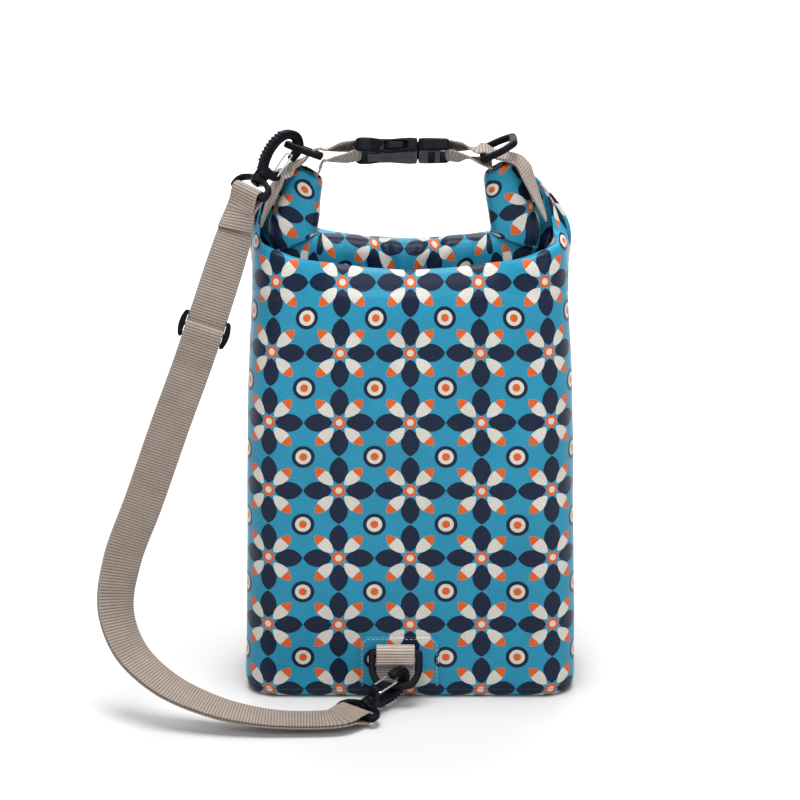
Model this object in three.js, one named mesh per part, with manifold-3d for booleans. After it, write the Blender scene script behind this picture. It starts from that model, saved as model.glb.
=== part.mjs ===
// Roll-top dry bag with a sling strap, at its real size in millimetres, +Z up.
// Origin: middle of the flat underside of the base panel. +X is the wearer's view right, -Y the printed front.
import * as THREE from 'three';
import Module from 'manifold-3d';
import { mergeVertices } from 'three/addons/utils/BufferGeometryUtils.js';

const wasm = await Module();
wasm.setup();


// ---------------------------------------------------------------- cloth
const WALL = 1.2;
const CLEAR = 0.3;

// body sections: height, half width, half depth, corner radius
const BODY = [
  { z: 5.6,  halfW: 107.4, halfD: 52.0, corner: 22 },
  { z: 14,   halfW: 108.4, halfD: 53.0, corner: 23 },
  { z: 70,   halfW: 107.4, halfD: 54.5, corner: 25 },
  { z: 140,  halfW: 106.4, halfD: 55.0, corner: 27 },
  { z: 210,  halfW: 105.2, halfD: 54.0, corner: 28 },
  { z: 250,  halfW: 103.2, halfD: 52.5, corner: 28 },
  { z: 270,  halfW: 101.8, halfD: 51.0, corner: 28 },
];
// columns of cloth from the front (or back) middle, 0, to the side fold, 1
const COLUMNS = [0, 0.16, 0.30, 0.40, 0.48, 0.545, 0.60, 0.635, 0.68, 0.73, 0.78, 0.84, 0.90, 0.96, 1];

// roll: a flattened spiral along a U-shaped spine
const ROLL = {
  x: -4, y: -16, z: 288,       // middle of the U's bottom run
  straight: 52.4, bendR: 20, bendDeg: 105, riseLeft: 34, riseRight: 37,
  sag: 3,
  pitch: 3.6, turns: 1.75, gap: 0.5,
};
// roll section along the spine: part of the half length, half height, half thickness
const ROLL_SECTION = [
  { q: 0.0,   h: 16.5, t: 10 },
  { q: 0.40,  h: 17,   t: 10 },
  { q: 0.52,  h: 17.5, t: 9.6 },
  { q: 0.605, h: 17.5, t: 7.0 },
  { q: 0.635, h: 18.4, t: 11.6 },
  { q: 0.74,  h: 16.9, t: 10.6 },
  { q: 1.0,   h: 12.6, t: 9.5 },
];
const SOLID_T = 10.2;          // half thickness that the layers share out
const LEAN = 0.8;              // how far the tubes lean in off the spine
// height of the front and back crests above the base, from the middle to the side
const CREST = [
  { q: 0, z: 286.6 }, { q: 0.22, z: 288.6 }, { q: 0.39, z: 291.8 }, { q: 0.48, z: 294.4 },
  { q: 0.57, z: 297.2 }, { q: 0.64, z: 299 }, { q: 0.72, z: 299.6 }, { q: 1, z: 298 },
];

const smooth = (a, b, x) => { const t = Math.min(1, Math.max(0, (x - a) / (b - a))); return t * t * (3 - 2 * t); };
const lerp = (a, b, t) => a + (b - a) * t;
const mix = (p, q, t) => p.map((v, i) => lerp(v, q[i], t));
function table(rows, key, at, names) {
  let i = 1;
  while (i < rows.length - 1 && rows[i][key] < at) i++;
  const a = rows[i - 1], b = rows[i], t = Math.min(1, Math.max(0, (at - a[key]) / (b[key] - a[key])));
  return names.map((n) => lerp(a[n], b[n], t));
}

// point on a rounded rectangle: q from -1 to 1 along the front (or back) half
function sectionPoint(q, back, a, b, r) {
  const quarter = (a - r) + (Math.PI / 2) * r + (b - r);
  const p = Math.abs(q) * quarter;
  let x, y;
  if (p <= a - r) { x = p; y = -b; }
  else if (p <= a - r + (Math.PI / 2) * r) {
    const f = (p - (a - r)) / r;
    x = a - r + r * Math.sin(f); y = -(b - r) - r * Math.cos(f);
  } else { x = a; y = -(b - r) + (p - (a - r) - (Math.PI / 2) * r); }
  return [q < 0 ? -x : x, back ? -y : y];
}

const bendArc = ROLL.bendR * ROLL.bendDeg * Math.PI / 180;
const halfSpine = (q) => ROLL.straight + bendArc + (q < 0 ? ROLL.riseLeft : ROLL.riseRight);

// spine frame at q: middle point and the roll's own up direction, both in X and Z
function spine(q, extra = 0) {
  const s = Math.abs(q) * halfSpine(q) + extra, sign = q < 0 ? -1 : 1;
  const end = ROLL.bendDeg * Math.PI / 180;
  let x, z, f;
  if (s <= ROLL.straight) { f = 0; x = s; z = 0; }
  else if (s <= ROLL.straight + bendArc) {
    f = (s - ROLL.straight) / ROLL.bendR;
    x = ROLL.straight + ROLL.bendR * Math.sin(f); z = ROLL.bendR * (1 - Math.cos(f));
  } else {
    f = end; const u = s - ROLL.straight - bendArc;
    x = ROLL.straight + ROLL.bendR * Math.sin(end) + u * Math.cos(end);
    z = ROLL.bendR * (1 - Math.cos(end)) + u * Math.sin(end);
  }
  z -= ROLL.sag * (1 - smooth(0, ROLL.straight, s));
  const [h, t] = table(ROLL_SECTION, 'q', Math.abs(q), ['h', 't']), lean = LEAN * smooth(0.6, 0.8, Math.abs(q));
  const nx = -sign * Math.sin(f), nz = Math.cos(f);
  return { x: ROLL.x + sign * x + nx * lean, z: ROLL.z + z + nz * lean, nx, nz, h, t };
}
const onRoll = (f, y, n) => [f.x + f.nx * n, ROLL.y + y, f.z + f.nz * n];

// stations round one turn of the roll, starting at its back and going up:
// share of thickness across, end of the section (+1 top, -1 bottom), angle on that end
const S60 = Math.sin(Math.PI / 3);
const TURN = [
  { y: 1, end: -0.3, n: 0 }, { y: 1, end: 1, n: 0 }, { y: 0.5, end: 1, n: S60 }, { y: -0.5, end: 1, n: S60 },
  { y: -1, end: 1, n: 0 }, { y: -1, end: -1, n: 0 }, { y: -0.5, end: -1, n: -S60 }, { y: 0.5, end: -1, n: -S60 },
  { y: 1, end: -1, n: 0 },
];
// the tip of each tube is a slanted gable: drop along the tube at distance n towards its inner side
const GABLE = { apex: -3, inner: 0.26, outer: 0.06 };
const tipRise = (n) => n > GABLE.apex ? -GABLE.inner * (n - GABLE.apex) : -GABLE.outer * (n - GABLE.apex) ** 2;
function rollPoint(q, layer, j) {
  // layer: depth of the printed face under the outermost turn
  const extra = Math.abs(q) === 1 ? 1.6 : 0;
  const f = spine(q, extra), st = TURN[j % TURN.length];
  const d = layer + ROLL.pitch * j / TURN.length, r = f.t * (1 - d / SOLID_T);
  const n = st.end * (f.h - f.t) + st.n * r, rise = tipRise(n) * smooth(0.78, 1, Math.abs(q)), sign = q < 0 ? -1 : 1;
  const p = onRoll(f, st.y * r, n);
  return [p[0] + sign * f.nz * rise, p[1], p[2] - sign * f.nx * rise];
}
const FRONT_LAYER = 2 * WALL + ROLL.gap;
const ROLL_ROWS = Math.round(ROLL.turns * TURN.length);

// side fold: the crest of the gusset, from the body's side to the tip of the tube
const FOLD = [
  { x: 102.6, y: -1, z: 298,   shift: 0 },
  { x: 99.2,  y: -1, z: 314,   shift: 0.3 },
  { x: 90.8,  y: -1, z: 328,   shift: 0.7 },
  { x: 78.6,  y: -4, z: 341.5, shift: 1 },
];
const FIN_HALF = 1.8, LEFT_DROP = ROLL.riseLeft - ROLL.riseRight;
function topControls(q, back) {
  const aq = Math.abs(q), sign = q < 0 ? -1 : 1;
  const w = smooth(0.70, 1, aq);            // how far into the side fold
  const g = smooth(0.36, 0.62, aq);         // how far into the bent-up tube
  const f = spine(q), [crestZ] = table(CREST, 'q', aq, ['z']);
  const top = BODY[BODY.length - 1];
  const [bx, by] = sectionPoint(q, back, top.halfW, top.halfD, top.corner);
  const layer = aq === 1 ? FRONT_LAYER / 2 : back ? 0 : FRONT_LAYER;
  const apart = aq === 1 ? 0 : back ? FIN_HALF : -FIN_HALF, out = aq === 1 ? 1.5 : 0;
  const fold = FOLD.map((p) => [sign * (p.x + out) + ROLL.x * p.shift, p.y + apart, p.z + out * 0.6 + (q < 0 ? LEFT_DROP * p.shift : 0)]);
  const attach = rollPoint(q, layer, 0);
  const inEnd = f.h - f.t;
  let c;
  if (!back) {
    const crest = [bx * 0.985, by * 0.9, crestZ];
    const finIn = onRoll(f, f.t + 3.5, -f.h - 5);
    const valley = mix(onRoll(f, -f.t - 2, -f.h - 1), [lerp(crest[0], finIn[0], 0.5), lerp(crest[1], finIn[1], 0.6), lerp(crest[2], finIn[2], 0.3) - 2], g);
    const under = mix(onRoll(f, -1, -f.h - 2.5), finIn, g);
    const behind = mix(onRoll(f, 0.707 * (f.t + 0.6), -inEnd - 0.707 * (f.t + 0.6)), onRoll(f, f.t - 1.2, -inEnd - 1), g);
    c = [crest, valley, under, behind];
  } else {
    const crest = [bx * 0.985, by * 0.88, crestZ];
    const finOut = onRoll(f, f.t + 8.5, -f.h - 5);
    const lean = mix([f.x * 0.2 + crest[0] * 0.8, 20, 286], [lerp(crest[0], finOut[0], 0.5), lerp(crest[1], finOut[1], 0.6), lerp(crest[2], finOut[2], 0.35)], g);
    const near = mix(onRoll(f, f.t + 7, -6), finOut, g);
    const close = mix(onRoll(f, f.t + 1.5, -5.5), onRoll(f, f.t + 2.2, -inEnd - 1), g);
    c = [crest, lean, near, close];
  }
  c = c.map((p, i) => mix(p, fold[i], w));
  return [...c, attach];
}

// rows of the transition, as steps along the control points (0 = body's top row, 5 = roll)
const TOP_STEPS = [0.55, 1, 1.5, 2, 2.5, 3, 3.5, 4, 4.5];
function catmull(pts, u) {
  const i = Math.min(pts.length - 2, Math.floor(u)), t = u - i;
  const p0 = pts[Math.max(0, i - 1)], p1 = pts[i], p2 = pts[i + 1], p3 = pts[Math.min(pts.length - 1, i + 2)];
  return p1.map((_, k) => 0.5 * (2 * p1[k] + (p2[k] - p0[k]) * t + (2 * p0[k] - 5 * p1[k] + 4 * p2[k] - p3[k]) * t * t + (3 * p1[k] - p0[k] - 3 * p2[k] + p3[k]) * t * t * t));
}
function columnList() {
  const n = COLUMNS.length - 1, cols = [];
  for (let i = 0; i < n; i++) cols.push({ q: COLUMNS[i], back: false });
  for (let i = n; i > 0; i--) cols.push({ q: COLUMNS[i], back: true });
  for (let i = 0; i < n; i++) cols.push({ q: -COLUMNS[i], back: true });
  for (let i = n; i > 0; i--) cols.push({ q: -COLUMNS[i], back: false });
  return cols;
}
function shellColumn({ q, back }) {
  const pts = BODY.map((b) => { const [x, y] = sectionPoint(q, back, b.halfW, b.halfD, b.corner); return [x, y, b.z]; });
  const last = pts[pts.length - 1], before = pts[pts.length - 2];
  const ctl = [last, ...topControls(q, back)];
  for (const u of TOP_STEPS) pts.push(catmull(ctl, u));
  const layer = Math.abs(q) === 1 ? FRONT_LAYER / 2 : back ? 0 : FRONT_LAYER;
  for (let j = 0; j <= ROLL_ROWS; j++) pts.push(rollPoint(q, layer, j));
  return pts;
}
function shellGrid() { return columnList().map(shellColumn); }

function thicken(grid, wall, closed = true) {
  const nu = grid.length, nv = grid[0].length, pos = [], idx = [];
  const at = (i, j) => grid[closed ? (i + nu) % nu : Math.min(nu - 1, Math.max(0, i))][Math.min(nv - 1, Math.max(0, j))];
  const V = (a, b) => new THREE.Vector3(a[0] - b[0], a[1] - b[1], a[2] - b[2]);
  for (let i = 0; i < nu; i++) for (let j = 0; j < nv; j++) pos.push(...at(i, j));
  for (let i = 0; i < nu; i++) for (let j = 0; j < nv; j++) {
    const n = V(at(i + 1, j), at(i - 1, j)).cross(V(at(i, j + 1), at(i, j - 1))).normalize();
    const p = at(i, j); pos.push(p[0] - wall * n.x, p[1] - wall * n.y, p[2] - wall * n.z);
  }
  const o = (i, j) => (i % nu) * nv + j, n2 = nu * nv, inn = (i, j) => n2 + o(i, j);
  const last = closed ? nu : nu - 1;
  for (let i = 0; i < last; i++) for (let j = 0; j < nv - 1; j++) {
    idx.push(o(i, j), o(i + 1, j), o(i + 1, j + 1), o(i, j), o(i + 1, j + 1), o(i, j + 1));
    idx.push(inn(i, j), inn(i + 1, j + 1), inn(i + 1, j), inn(i, j), inn(i, j + 1), inn(i + 1, j + 1));
  }
  for (let i = 0; i < last; i++) {
    idx.push(o(i, 0), inn(i, 0), inn(i + 1, 0), o(i, 0), inn(i + 1, 0), o(i + 1, 0));
    const e = nv - 1;
    idx.push(o(i, e), o(i + 1, e), inn(i + 1, e), o(i, e), inn(i + 1, e), inn(i, e));
  }
  if (!closed) for (let j = 0; j < nv - 1; j++) {
    idx.push(o(0, j), o(0, j + 1), inn(0, j + 1), o(0, j), inn(0, j + 1), inn(0, j));
    const e = nu - 1;
    idx.push(o(e, j), inn(e, j + 1), o(e, j + 1), o(e, j), inn(e, j), inn(e, j + 1));
  }
  const g = new THREE.BufferGeometry();
  g.setAttribute('position', new THREE.Float32BufferAttribute(pos, 3)); g.setIndex(idx);
  return g;
}
// ---------------------------------------------------------------- sizes of the other pieces
const WEB = { width: 25, thick: 1.4, air: 0.35 };          // strap and top webbing
const LAYER_GAP = 0.5;
const RING = { inner: 26.4, bar: 4.4, depth: 21.5, bevel: 1.1 };   // plastic D-rings
const HOOK = { thick: 6.4, bevel: 1.2, pivot: [7.2, 3.4], tip: [6.1, 20.3], lugR: 3.1, wireR: 0.6, wireZ: 4.2 };
const EYE = { barY: -15.8, barHalf: 2.1, thick: 4.4, boreR: 2.4, postR: 2.0 };
const BUCKLE = { joinX: 4.5, y: -16, z: 358.8, tiltDeg: -30, width: 32, thick: 9.5, socketLen: 41.4, prongLen: 23.6 };

// ---------------------------------------------------------------- helpers
const v3 = (a) => new THREE.Vector3(a[0], a[1], a[2]);
const along = (p, d, s) => [p[0] + d[0] * s, p[1] + d[1] * s, p[2] + d[2] * s];
const unit = (a) => { const v = v3(a).normalize(); return [v.x, v.y, v.z]; };
const cross = (a, b) => { const v = v3(a).cross(v3(b)); return [v.x, v.y, v.z]; };
const dot = (a, b) => a[0] * b[0] + a[1] * b[1] + a[2] * b[2];

function solid(geometry) {
  const g = geometry.index ? geometry.clone() : geometry.clone();
  for (const k of Object.keys(g.attributes)) if (k !== 'position') g.deleteAttribute(k);
  const m = mergeVertices(g, 1e-4);
  const idx = m.index.array, tri = [];
  for (let i = 0; i < idx.length; i += 3) if (idx[i] !== idx[i + 1] && idx[i + 1] !== idx[i + 2] && idx[i] !== idx[i + 2]) tri.push(idx[i], idx[i + 1], idx[i + 2]);
  return new wasm.Manifold(new wasm.Mesh({ numProp: 3, vertProperties: Float32Array.from(m.attributes.position.array), triVerts: Uint32Array.from(tri) }));
}
function fromSolid(s) {
  const m = s.getMesh(), g = new THREE.BufferGeometry();
  g.setAttribute('position', new THREE.BufferAttribute(new Float32Array(m.vertProperties), 3));
  g.setIndex(Array.from(m.triVerts));
  return g;
}
const join = (...gs) => fromSolid(gs.map(solid).reduce((a, b) => a.add(b)));
const cut = (g, ...tools) => fromSolid(tools.reduce((a, t) => a.subtract(solid(t)), solid(g)));

// flat outline, thick along z and centred on it, with rounded-over edges
function plate(points, thick, bevel, holes = [], segments = 2) {
  const toShape = (pts, S) => {
    const v = pts.map((p) => new THREE.Vector2(p[0], p[1]));
    return new S(THREE.ShapeUtils.isClockWise(v) ? v.reverse() : v);
  };
  const shape = toShape(points, THREE.Shape);
  for (const h of holes) shape.holes.push(toShape(h, THREE.Path));
  const g = new THREE.ExtrudeGeometry(shape, { depth: thick - 2 * bevel, bevelEnabled: bevel > 0, bevelThickness: bevel, bevelSize: bevel, bevelOffset: -bevel, bevelSegments: segments, curveSegments: 6 });
  g.translate(0, 0, -(thick - 2 * bevel) / 2);
  return g;
}
// rounded polygon: corners [x, y, radius]
function rounded(corners, steps = 3) {
  const out = [], n = corners.length;
  corners.forEach(([x, y, r], i) => {
    const p = corners[(i + n - 1) % n], q = corners[(i + 1) % n];
    if (!r) { out.push([x, y]); return; }
    const a = new THREE.Vector2(p[0] - x, p[1] - y).normalize(), b = new THREE.Vector2(q[0] - x, q[1] - y).normalize();
    for (let k = 0; k <= steps; k++) {
      const t = k / steps, u = (1 - t) * (1 - t), v = t * t;
      out.push([x + r * (u * a.x + v * b.x), y + r * (u * a.y + v * b.y)]);
    }
  });
  return out;
}
const mirrorX = (half) => [...half, ...half.slice().reverse().map(([x, y, r]) => [-x, y, r])];

function rod(radius, length, axis, centre, sides = 16) {
  const g = new THREE.CylinderGeometry(radius, radius, length, sides);
  if (axis === 'x') g.rotateZ(Math.PI / 2);
  if (axis === 'z') g.rotateX(Math.PI / 2);
  g.translate(...centre);
  return g;
}
function block(lo, hi) {
  const g = new THREE.BoxGeometry(hi[0] - lo[0], hi[1] - lo[1], hi[2] - lo[2]);
  g.translate((lo[0] + hi[0]) / 2, (lo[1] + hi[1]) / 2, (lo[2] + hi[2]) / 2);
  return g;
}
// round bar along a closed path
function ringBar(points, radius, sides = 8) {
  const n = points.length, pos = [], idx = [];
  let up = null;
  const frames = points.map((p, i) => {
    const t = unit(along(points[(i + 1) % n], points[(i + n - 1) % n], -1));
    if (!up) up = Math.abs(t[2]) < 0.8 ? [0, 0, 1] : [1, 0, 0];
    const a = unit(cross(t, up)), b = cross(a, t); up = b;
    return { p, a, b: cross(a, t) };
  });
  frames.forEach(({ p, a, b }) => { for (let k = 0; k < sides; k++) { const f = 2 * Math.PI * k / sides; pos.push(...along(along(p, a, radius * Math.cos(f)), b, radius * Math.sin(f))); } });
  // the last ring meets the first with the turn that brings the two frames together
  let shift = 0, best = 1e9;
  for (let s = 0; s < sides; s++) {
    let d = 0;
    for (let k = 0; k < sides; k++) { const u = ((n - 1) * sides + k) * 3, w = ((k + s) % sides) * 3; d += Math.hypot(pos[u] - pos[w], pos[u + 1] - pos[w + 1], pos[u + 2] - pos[w + 2]); }
    if (d < best) { best = d; shift = s; }
  }
  for (let i = 0; i < n; i++) for (let k = 0; k < sides; k++) {
    const o = i === n - 1 ? shift : 0, j = (i + 1) % n;
    const a = i * sides + k, b = i * sides + (k + 1) % sides, c = j * sides + (k + 1 + o) % sides, d = j * sides + (k + o) % sides;
    idx.push(a, b, c, a, c, d);
  }
  const g = new THREE.BufferGeometry();
  g.setAttribute('position', new THREE.Float32BufferAttribute(pos, 3)); g.setIndex(idx);
  return outward(g);
}
// turn the faces out if the volume comes out negative
function outward(g) {
  const p = g.attributes.position.array, x = g.index.array; let v = 0;
  for (let i = 0; i < x.length; i += 3) {
    const [a, b, c] = [x[i] * 3, x[i + 1] * 3, x[i + 2] * 3];
    v += p[a] * (p[b + 1] * p[c + 2] - p[b + 2] * p[c + 1]) - p[a + 1] * (p[b] * p[c + 2] - p[b + 2] * p[c]) + p[a + 2] * (p[b] * p[c + 1] - p[b + 1] * p[c]);
  }
  if (v < 0) for (let i = 0; i < x.length; i += 3) { const t = x[i]; x[i] = x[i + 1]; x[i + 1] = t; }
  return g;
}
// flat band along a path: stations { p, w } with w the direction across the band
function ribbon(stations, width, thick) {
  const n = stations.length, pos = [], idx = [];
  stations.forEach((s, i) => {
    const a = stations[Math.max(0, i - 1)].p, b = stations[Math.min(n - 1, i + 1)].p;
    const t = unit(along(b, a, -1));
    const w = unit(along(s.w, t, -dot(s.w, t))), f = cross(t, w);
    for (const [x, y] of [[1, 1], [-1, 1], [-1, -1], [1, -1]]) pos.push(...along(along(s.p, w, x * width / 2), f, y * thick / 2));
  });
  for (let i = 0; i < n - 1; i++) for (let k = 0; k < 4; k++) {
    const a = i * 4 + k, b = i * 4 + (k + 1) % 4, c = b + 4, d = a + 4;
    idx.push(a, b, c, a, c, d);
  }
  const e = (n - 1) * 4;
  idx.push(0, 3, 2, 0, 2, 1, e, e + 1, e + 2, e, e + 2, e + 3);
  const g = new THREE.BufferGeometry();
  g.setAttribute('position', new THREE.Float32BufferAttribute(pos, 3)); g.setIndex(idx);
  return outward(g);
}
// matrix that carries local x, y, z to the given directions at a point
function frameAt(origin, x, y, z) {
  return new THREE.Matrix4().makeBasis(v3(x), v3(y), v3(z)).setPosition(v3(origin));
}
const toWorld = (m, p) => { const v = v3(p).applyMatrix4(m); return [v.x, v.y, v.z]; };

const group = new THREE.Group();
const FINISH = {
  canvas:  { color: 0x3c96b4, roughness: 0.5,  metalness: 0 },
  webbing: { color: 0x978a80, roughness: 0.9,  metalness: 0 },
  plastic: { color: 0x0a0c11, roughness: 0.35, metalness: 0 },
  steel:   { color: 0xb9bcc2, roughness: 0.3,  metalness: 1 },
};
function piece(name, geometry, finish, matrix) {
  const mesh = new THREE.Mesh(geometry, new THREE.MeshStandardMaterial(FINISH[finish]));
  mesh.name = name;
  if (matrix) { mesh.matrixAutoUpdate = true; matrix.decompose(mesh.position, mesh.quaternion, mesh.scale); }
  group.add(mesh);
}

// ---------------------------------------------------------------- bag
piece('bag_shell', thicken(shellGrid(), WALL), 'canvas');

// base panel: a flat floor whose rim turns up to the seam; rings of inset and height
const BASE_OUT = [{ inset: 18, z: 0 }, { inset: 5, z: 0 }, { inset: 1.6, z: 1.0 }, { inset: 0.4, z: 2.8 }, { inset: 0, z: 5.2 }];
const BASE_IN = [{ inset: 1.2, z: 5.2 }, { inset: 1.6, z: 3.2 }, { inset: 2.6, z: 2.0 }, { inset: 5.2, z: 1.2 }, { inset: 18, z: 1.2 }];
function basePanel() {
  const b = BODY[0], cols = columnList(), n = cols.length, pos = [], idx = [];
  for (const r of [...BASE_OUT, ...BASE_IN]) for (const c of cols) {
    const [x, y] = sectionPoint(c.q, c.back, b.halfW - r.inset, b.halfD - r.inset, b.corner - r.inset);
    pos.push(x, y, r.z);
  }
  const rings = BASE_OUT.length + BASE_IN.length;
  for (let k = 0; k < rings - 1; k++) for (let i = 0; i < n; i++) {
    const a = k * n + i, c = k * n + (i + 1) % n, d = c + n, e = a + n;
    idx.push(a, c, d, a, d, e);
  }
  const low = pos.length / 3; pos.push(0, 0, 0, 0, 0, BASE_IN[BASE_IN.length - 1].z);
  for (let i = 0; i < n; i++) { const j = (i + 1) % n, t = (rings - 1) * n; idx.push(low, j, i, low + 1, t + i, t + j); }
  const g = new THREE.BufferGeometry();
  g.setAttribute('position', new THREE.Float32BufferAttribute(pos, 3)); g.setIndex(idx);
  return outward(g);
}
piece('base_panel', basePanel(), 'canvas');

// reinforcing patch on the front, following the wall; top corners cut off
const PATCH = { x: -7, halfW: 26, low: 7, high: 43, corner: 4, cols: [-1, -0.85, -0.4, 0, 0.4, 0.85, 1], rows: [7, 14, 26, 43] };
const frontY = (z) => -table(BODY, 'z', z, ['halfD'])[0];
function frontPatch() {
  const grid = PATCH.cols.map((c) => PATCH.rows.map((z) => {
    const top = PATCH.high - Math.max(0, Math.abs(c) - 0.85) / 0.15 * PATCH.corner;
    const zz = z === PATCH.high ? top : z;
    return [PATCH.x + c * PATCH.halfW, frontY(zz) - CLEAR - WALL, zz];
  }));
  return thicken(grid, WALL, false);
}
piece('front_patch', frontPatch(), 'canvas');

// ---------------------------------------------------------------- D-rings
function dRing() {
  const i = RING.inner / 2, o = i + RING.bar, h = RING.bar / 2, d = RING.depth;
  const outer = rounded(mirrorX([[o, -h, 3.2], [o, 12.8, 4], [o - 5.4, d + h, 5.4]]), 3);
  const inner = rounded(mirrorX([[i, h, 1.2], [i, 12.2, 3.2], [i - 4.2, d - h, 4.0]]), 3);
  return plate(outer, RING.bar, RING.bevel, [inner]);
}
// lower ring: bar across the front, ring leaning out below it
const PATCH_FACE = frontY(35) - CLEAR - WALL;
const LOWER_RING = { x: -9.5, y: PATCH_FACE - CLEAR - WEB.thick - 2 * WEB.air - RING.bar / 2, z: 33.4, out: [0, -0.5, -0.866] };
const lowerRing = frameAt([LOWER_RING.x, LOWER_RING.y, LOWER_RING.z], [1, 0, 0], unit(LOWER_RING.out), cross([1, 0, 0], unit(LOWER_RING.out)));
piece('lower_d_ring', dRing(), 'plastic', lowerRing);

// webbing tab: up the patch, over the ring's bar and down in front of it
const TAB = { low: 13, slack: 1.6, lap: 8 };
function lowerTab() {
  const { x, y, z } = LOWER_RING, r = RING.bar / 2 + 2 * WEB.air + WEB.thick / 2, st = [];
  const back = y + r;
  for (const h of [TAB.low, 20, 27, z + TAB.slack - 1]) st.push([x, Math.min(frontY(h) - CLEAR - WALL - CLEAR - WEB.thick / 2, back + 0.2), h]);
  for (let k = 0; k <= 6; k++) { const f = Math.PI * k / 6; st.push([x, y + r * Math.cos(f), z + TAB.slack + r * Math.sin(f)]); }
  st.push([x, y - r, z - 2], [x, y - r - 0.2, z + TAB.slack - TAB.lap]);
  return ribbon(st.map((p) => ({ p, w: [1, 0, 0] })), WEB.width, WEB.thick);
}
piece('lower_tab', lowerTab(), 'webbing');

// ---------------------------------------------------------------- swivel snap hooks
// local frame: y along the hook towards its crown, x towards the gate, z through its thickness
const HOOK_LINE = [
  { x: -1.8, y: 0.5, half: 3.0 }, { x: -4.8, y: 6, half: 3.0 }, { x: -6.9, y: 14, half: 2.9 }, { x: -6.8, y: 22, half: 2.9 },
  { x: -4.2, y: 28.4, half: 3.0 }, { x: 1.6, y: 31.4, half: 3.1 }, { x: 7.0, y: 29, half: 3.0 }, { x: 9.3, y: 23.8, half: 2.6 }, { x: 9.1, y: 18.4, half: 2.1 },
];
function hookBody() {
  const line = new THREE.CatmullRomCurve3(HOOK_LINE.map((p) => new THREE.Vector3(p.x, p.y, 0)));
  const n = 24, m = 8, pos = [], idx = [], hz = HOOK.thick / 2, bev = HOOK.bevel;
  for (let i = 0; i <= n; i++) {
    const u = i / n, p = line.getPoint(u), t = line.getTangent(u);
    const k = u * (HOOK_LINE.length - 1), a = Math.min(HOOK_LINE.length - 2, Math.floor(k)), h = lerp(HOOK_LINE[a].half, HOOK_LINE[a + 1].half, k - a);
    for (const [s, z] of [[h, hz - bev], [h - bev, hz], [bev - h, hz], [-h, hz - bev], [-h, bev - hz], [bev - h, -hz], [h - bev, -hz], [h, bev - hz]]) pos.push(p.x - t.y * s, p.y + t.x * s, z);
  }
  for (let i = 0; i < n; i++) for (let k = 0; k < m; k++) {
    const a = i * m + k, b = i * m + (k + 1) % m;
    idx.push(a, b, b + m, a, b + m, a + m);
  }
  for (let k = 1; k < m - 1; k++) idx.push(0, k + 1, k, n * m, n * m + k, n * m + k + 1);
  const bar = new THREE.BufferGeometry();
  bar.setAttribute('position', new THREE.Float32BufferAttribute(pos, 3)); bar.setIndex(idx);
  const base = plate(rounded([[-5.2, -0.6, 1], [8.2, -0.6, 1.4], [9.6, 4, 1], [-5.2, 4.6, 1]], 2), HOOK.thick, 0.6);
  const lug = rod(HOOK.lugR, HOOK.thick, 'z', [HOOK.pivot[0], HOOK.pivot[1], 0], 20);
  const collar = new THREE.LatheGeometry([[0, -9.9], [3.2, -9.9], [3.2, -8.5], [EYE.postR, -8.5], [EYE.postR, -3.6], [4.5, -3.6], [4.9, -2.9], [4.9, -0.8], [4.3, 0.4], [0, 0.4]].map((p) => new THREE.Vector2(p[0], p[1])), 20);
  const bore = rod(HOOK.wireR + 0.35, 20, 'z', [HOOK.pivot[0], HOOK.pivot[1], 0], 12);
  return cut(join(outward(bar), base, lug, collar), bore);
}
function indexed(g) { const h = g.clone(); for (const k of Object.keys(h.attributes)) if (k !== 'position') h.deleteAttribute(k); return mergeVertices(h, 1e-4); }
// wire gate: a closed loop whose lower run is the pivot pin
function hookGate() {
  const [px, py] = HOOK.pivot, [tx, ty] = HOOK.tip, z = HOOK.wireZ, c = 0.9, pts = [];
  const u = [(tx - px) / Math.hypot(tx - px, ty - py), (ty - py) / Math.hypot(tx - px, ty - py)], len = Math.hypot(tx - px, ty - py);
  const at = (s, zz) => [px + u[0] * s, py + u[1] * s, zz];
  for (const zz of [-z + c, 0, z - c]) pts.push(at(0, zz));
  pts.push(at(0.27 * c, z - 0.27 * c), at(c, z), at(len * 0.5, z), at(len - c, z), at(len - 0.27 * c, z - 0.27 * c));
  for (const zz of [z - c, 0, -z + c]) pts.push(at(len, zz));
  pts.push(at(len - 0.27 * c, -z + 0.27 * c), at(len - c, -z), at(len * 0.5, -z), at(c, -z), at(0.27 * c, -z + 0.27 * c));
  return ringBar(pts, HOOK.wireR, 8);
}
function hookEye() {
  const outer = rounded(mirrorX([[7, -4.1, 1.5], [14.5, -7.0, 2.2], [17.4, -11, 2.2], [17.4, EYE.barY - EYE.barHalf, 3.2]]), 3);
  const inner = rounded(mirrorX([[8.5, -8.3, 1.4], [13.5, -11, 1.4], [13.5, EYE.barY + EYE.barHalf, 1.0]]), 3);
  const frame = plate(outer, EYE.thick, 1.2, [inner]);
  const boss = rod(4.9, 4.2, 'y', [0, -6.0, 0], 20);
  return cut(join(frame, boss), rod(EYE.boreR, 20, 'y', [0, -8, 0], 16));
}
// a hook hung on a ring: the ring's bar runs through the hook at local point "seat"
function hookFrame(contact, axis, barDir, rollDeg, seat) {
  const y = unit(axis);
  let z = unit(along(barDir, y, -dot(barDir, y)));
  let x = cross(y, z);
  const r = rollDeg * Math.PI / 180, c = Math.cos(r), s = Math.sin(r);
  const x2 = x.map((v, i) => v * c + z[i] * s), z2 = z.map((v, i) => v * c - x[i] * s);
  const o = along(along(contact, x2, -seat[0]), y, -seat[1]);
  return frameAt(o, x2, y, z2);
}
function turned(matrix, deg) { return matrix.clone().multiply(new THREE.Matrix4().makeRotationY(deg * Math.PI / 180)); }

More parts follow.
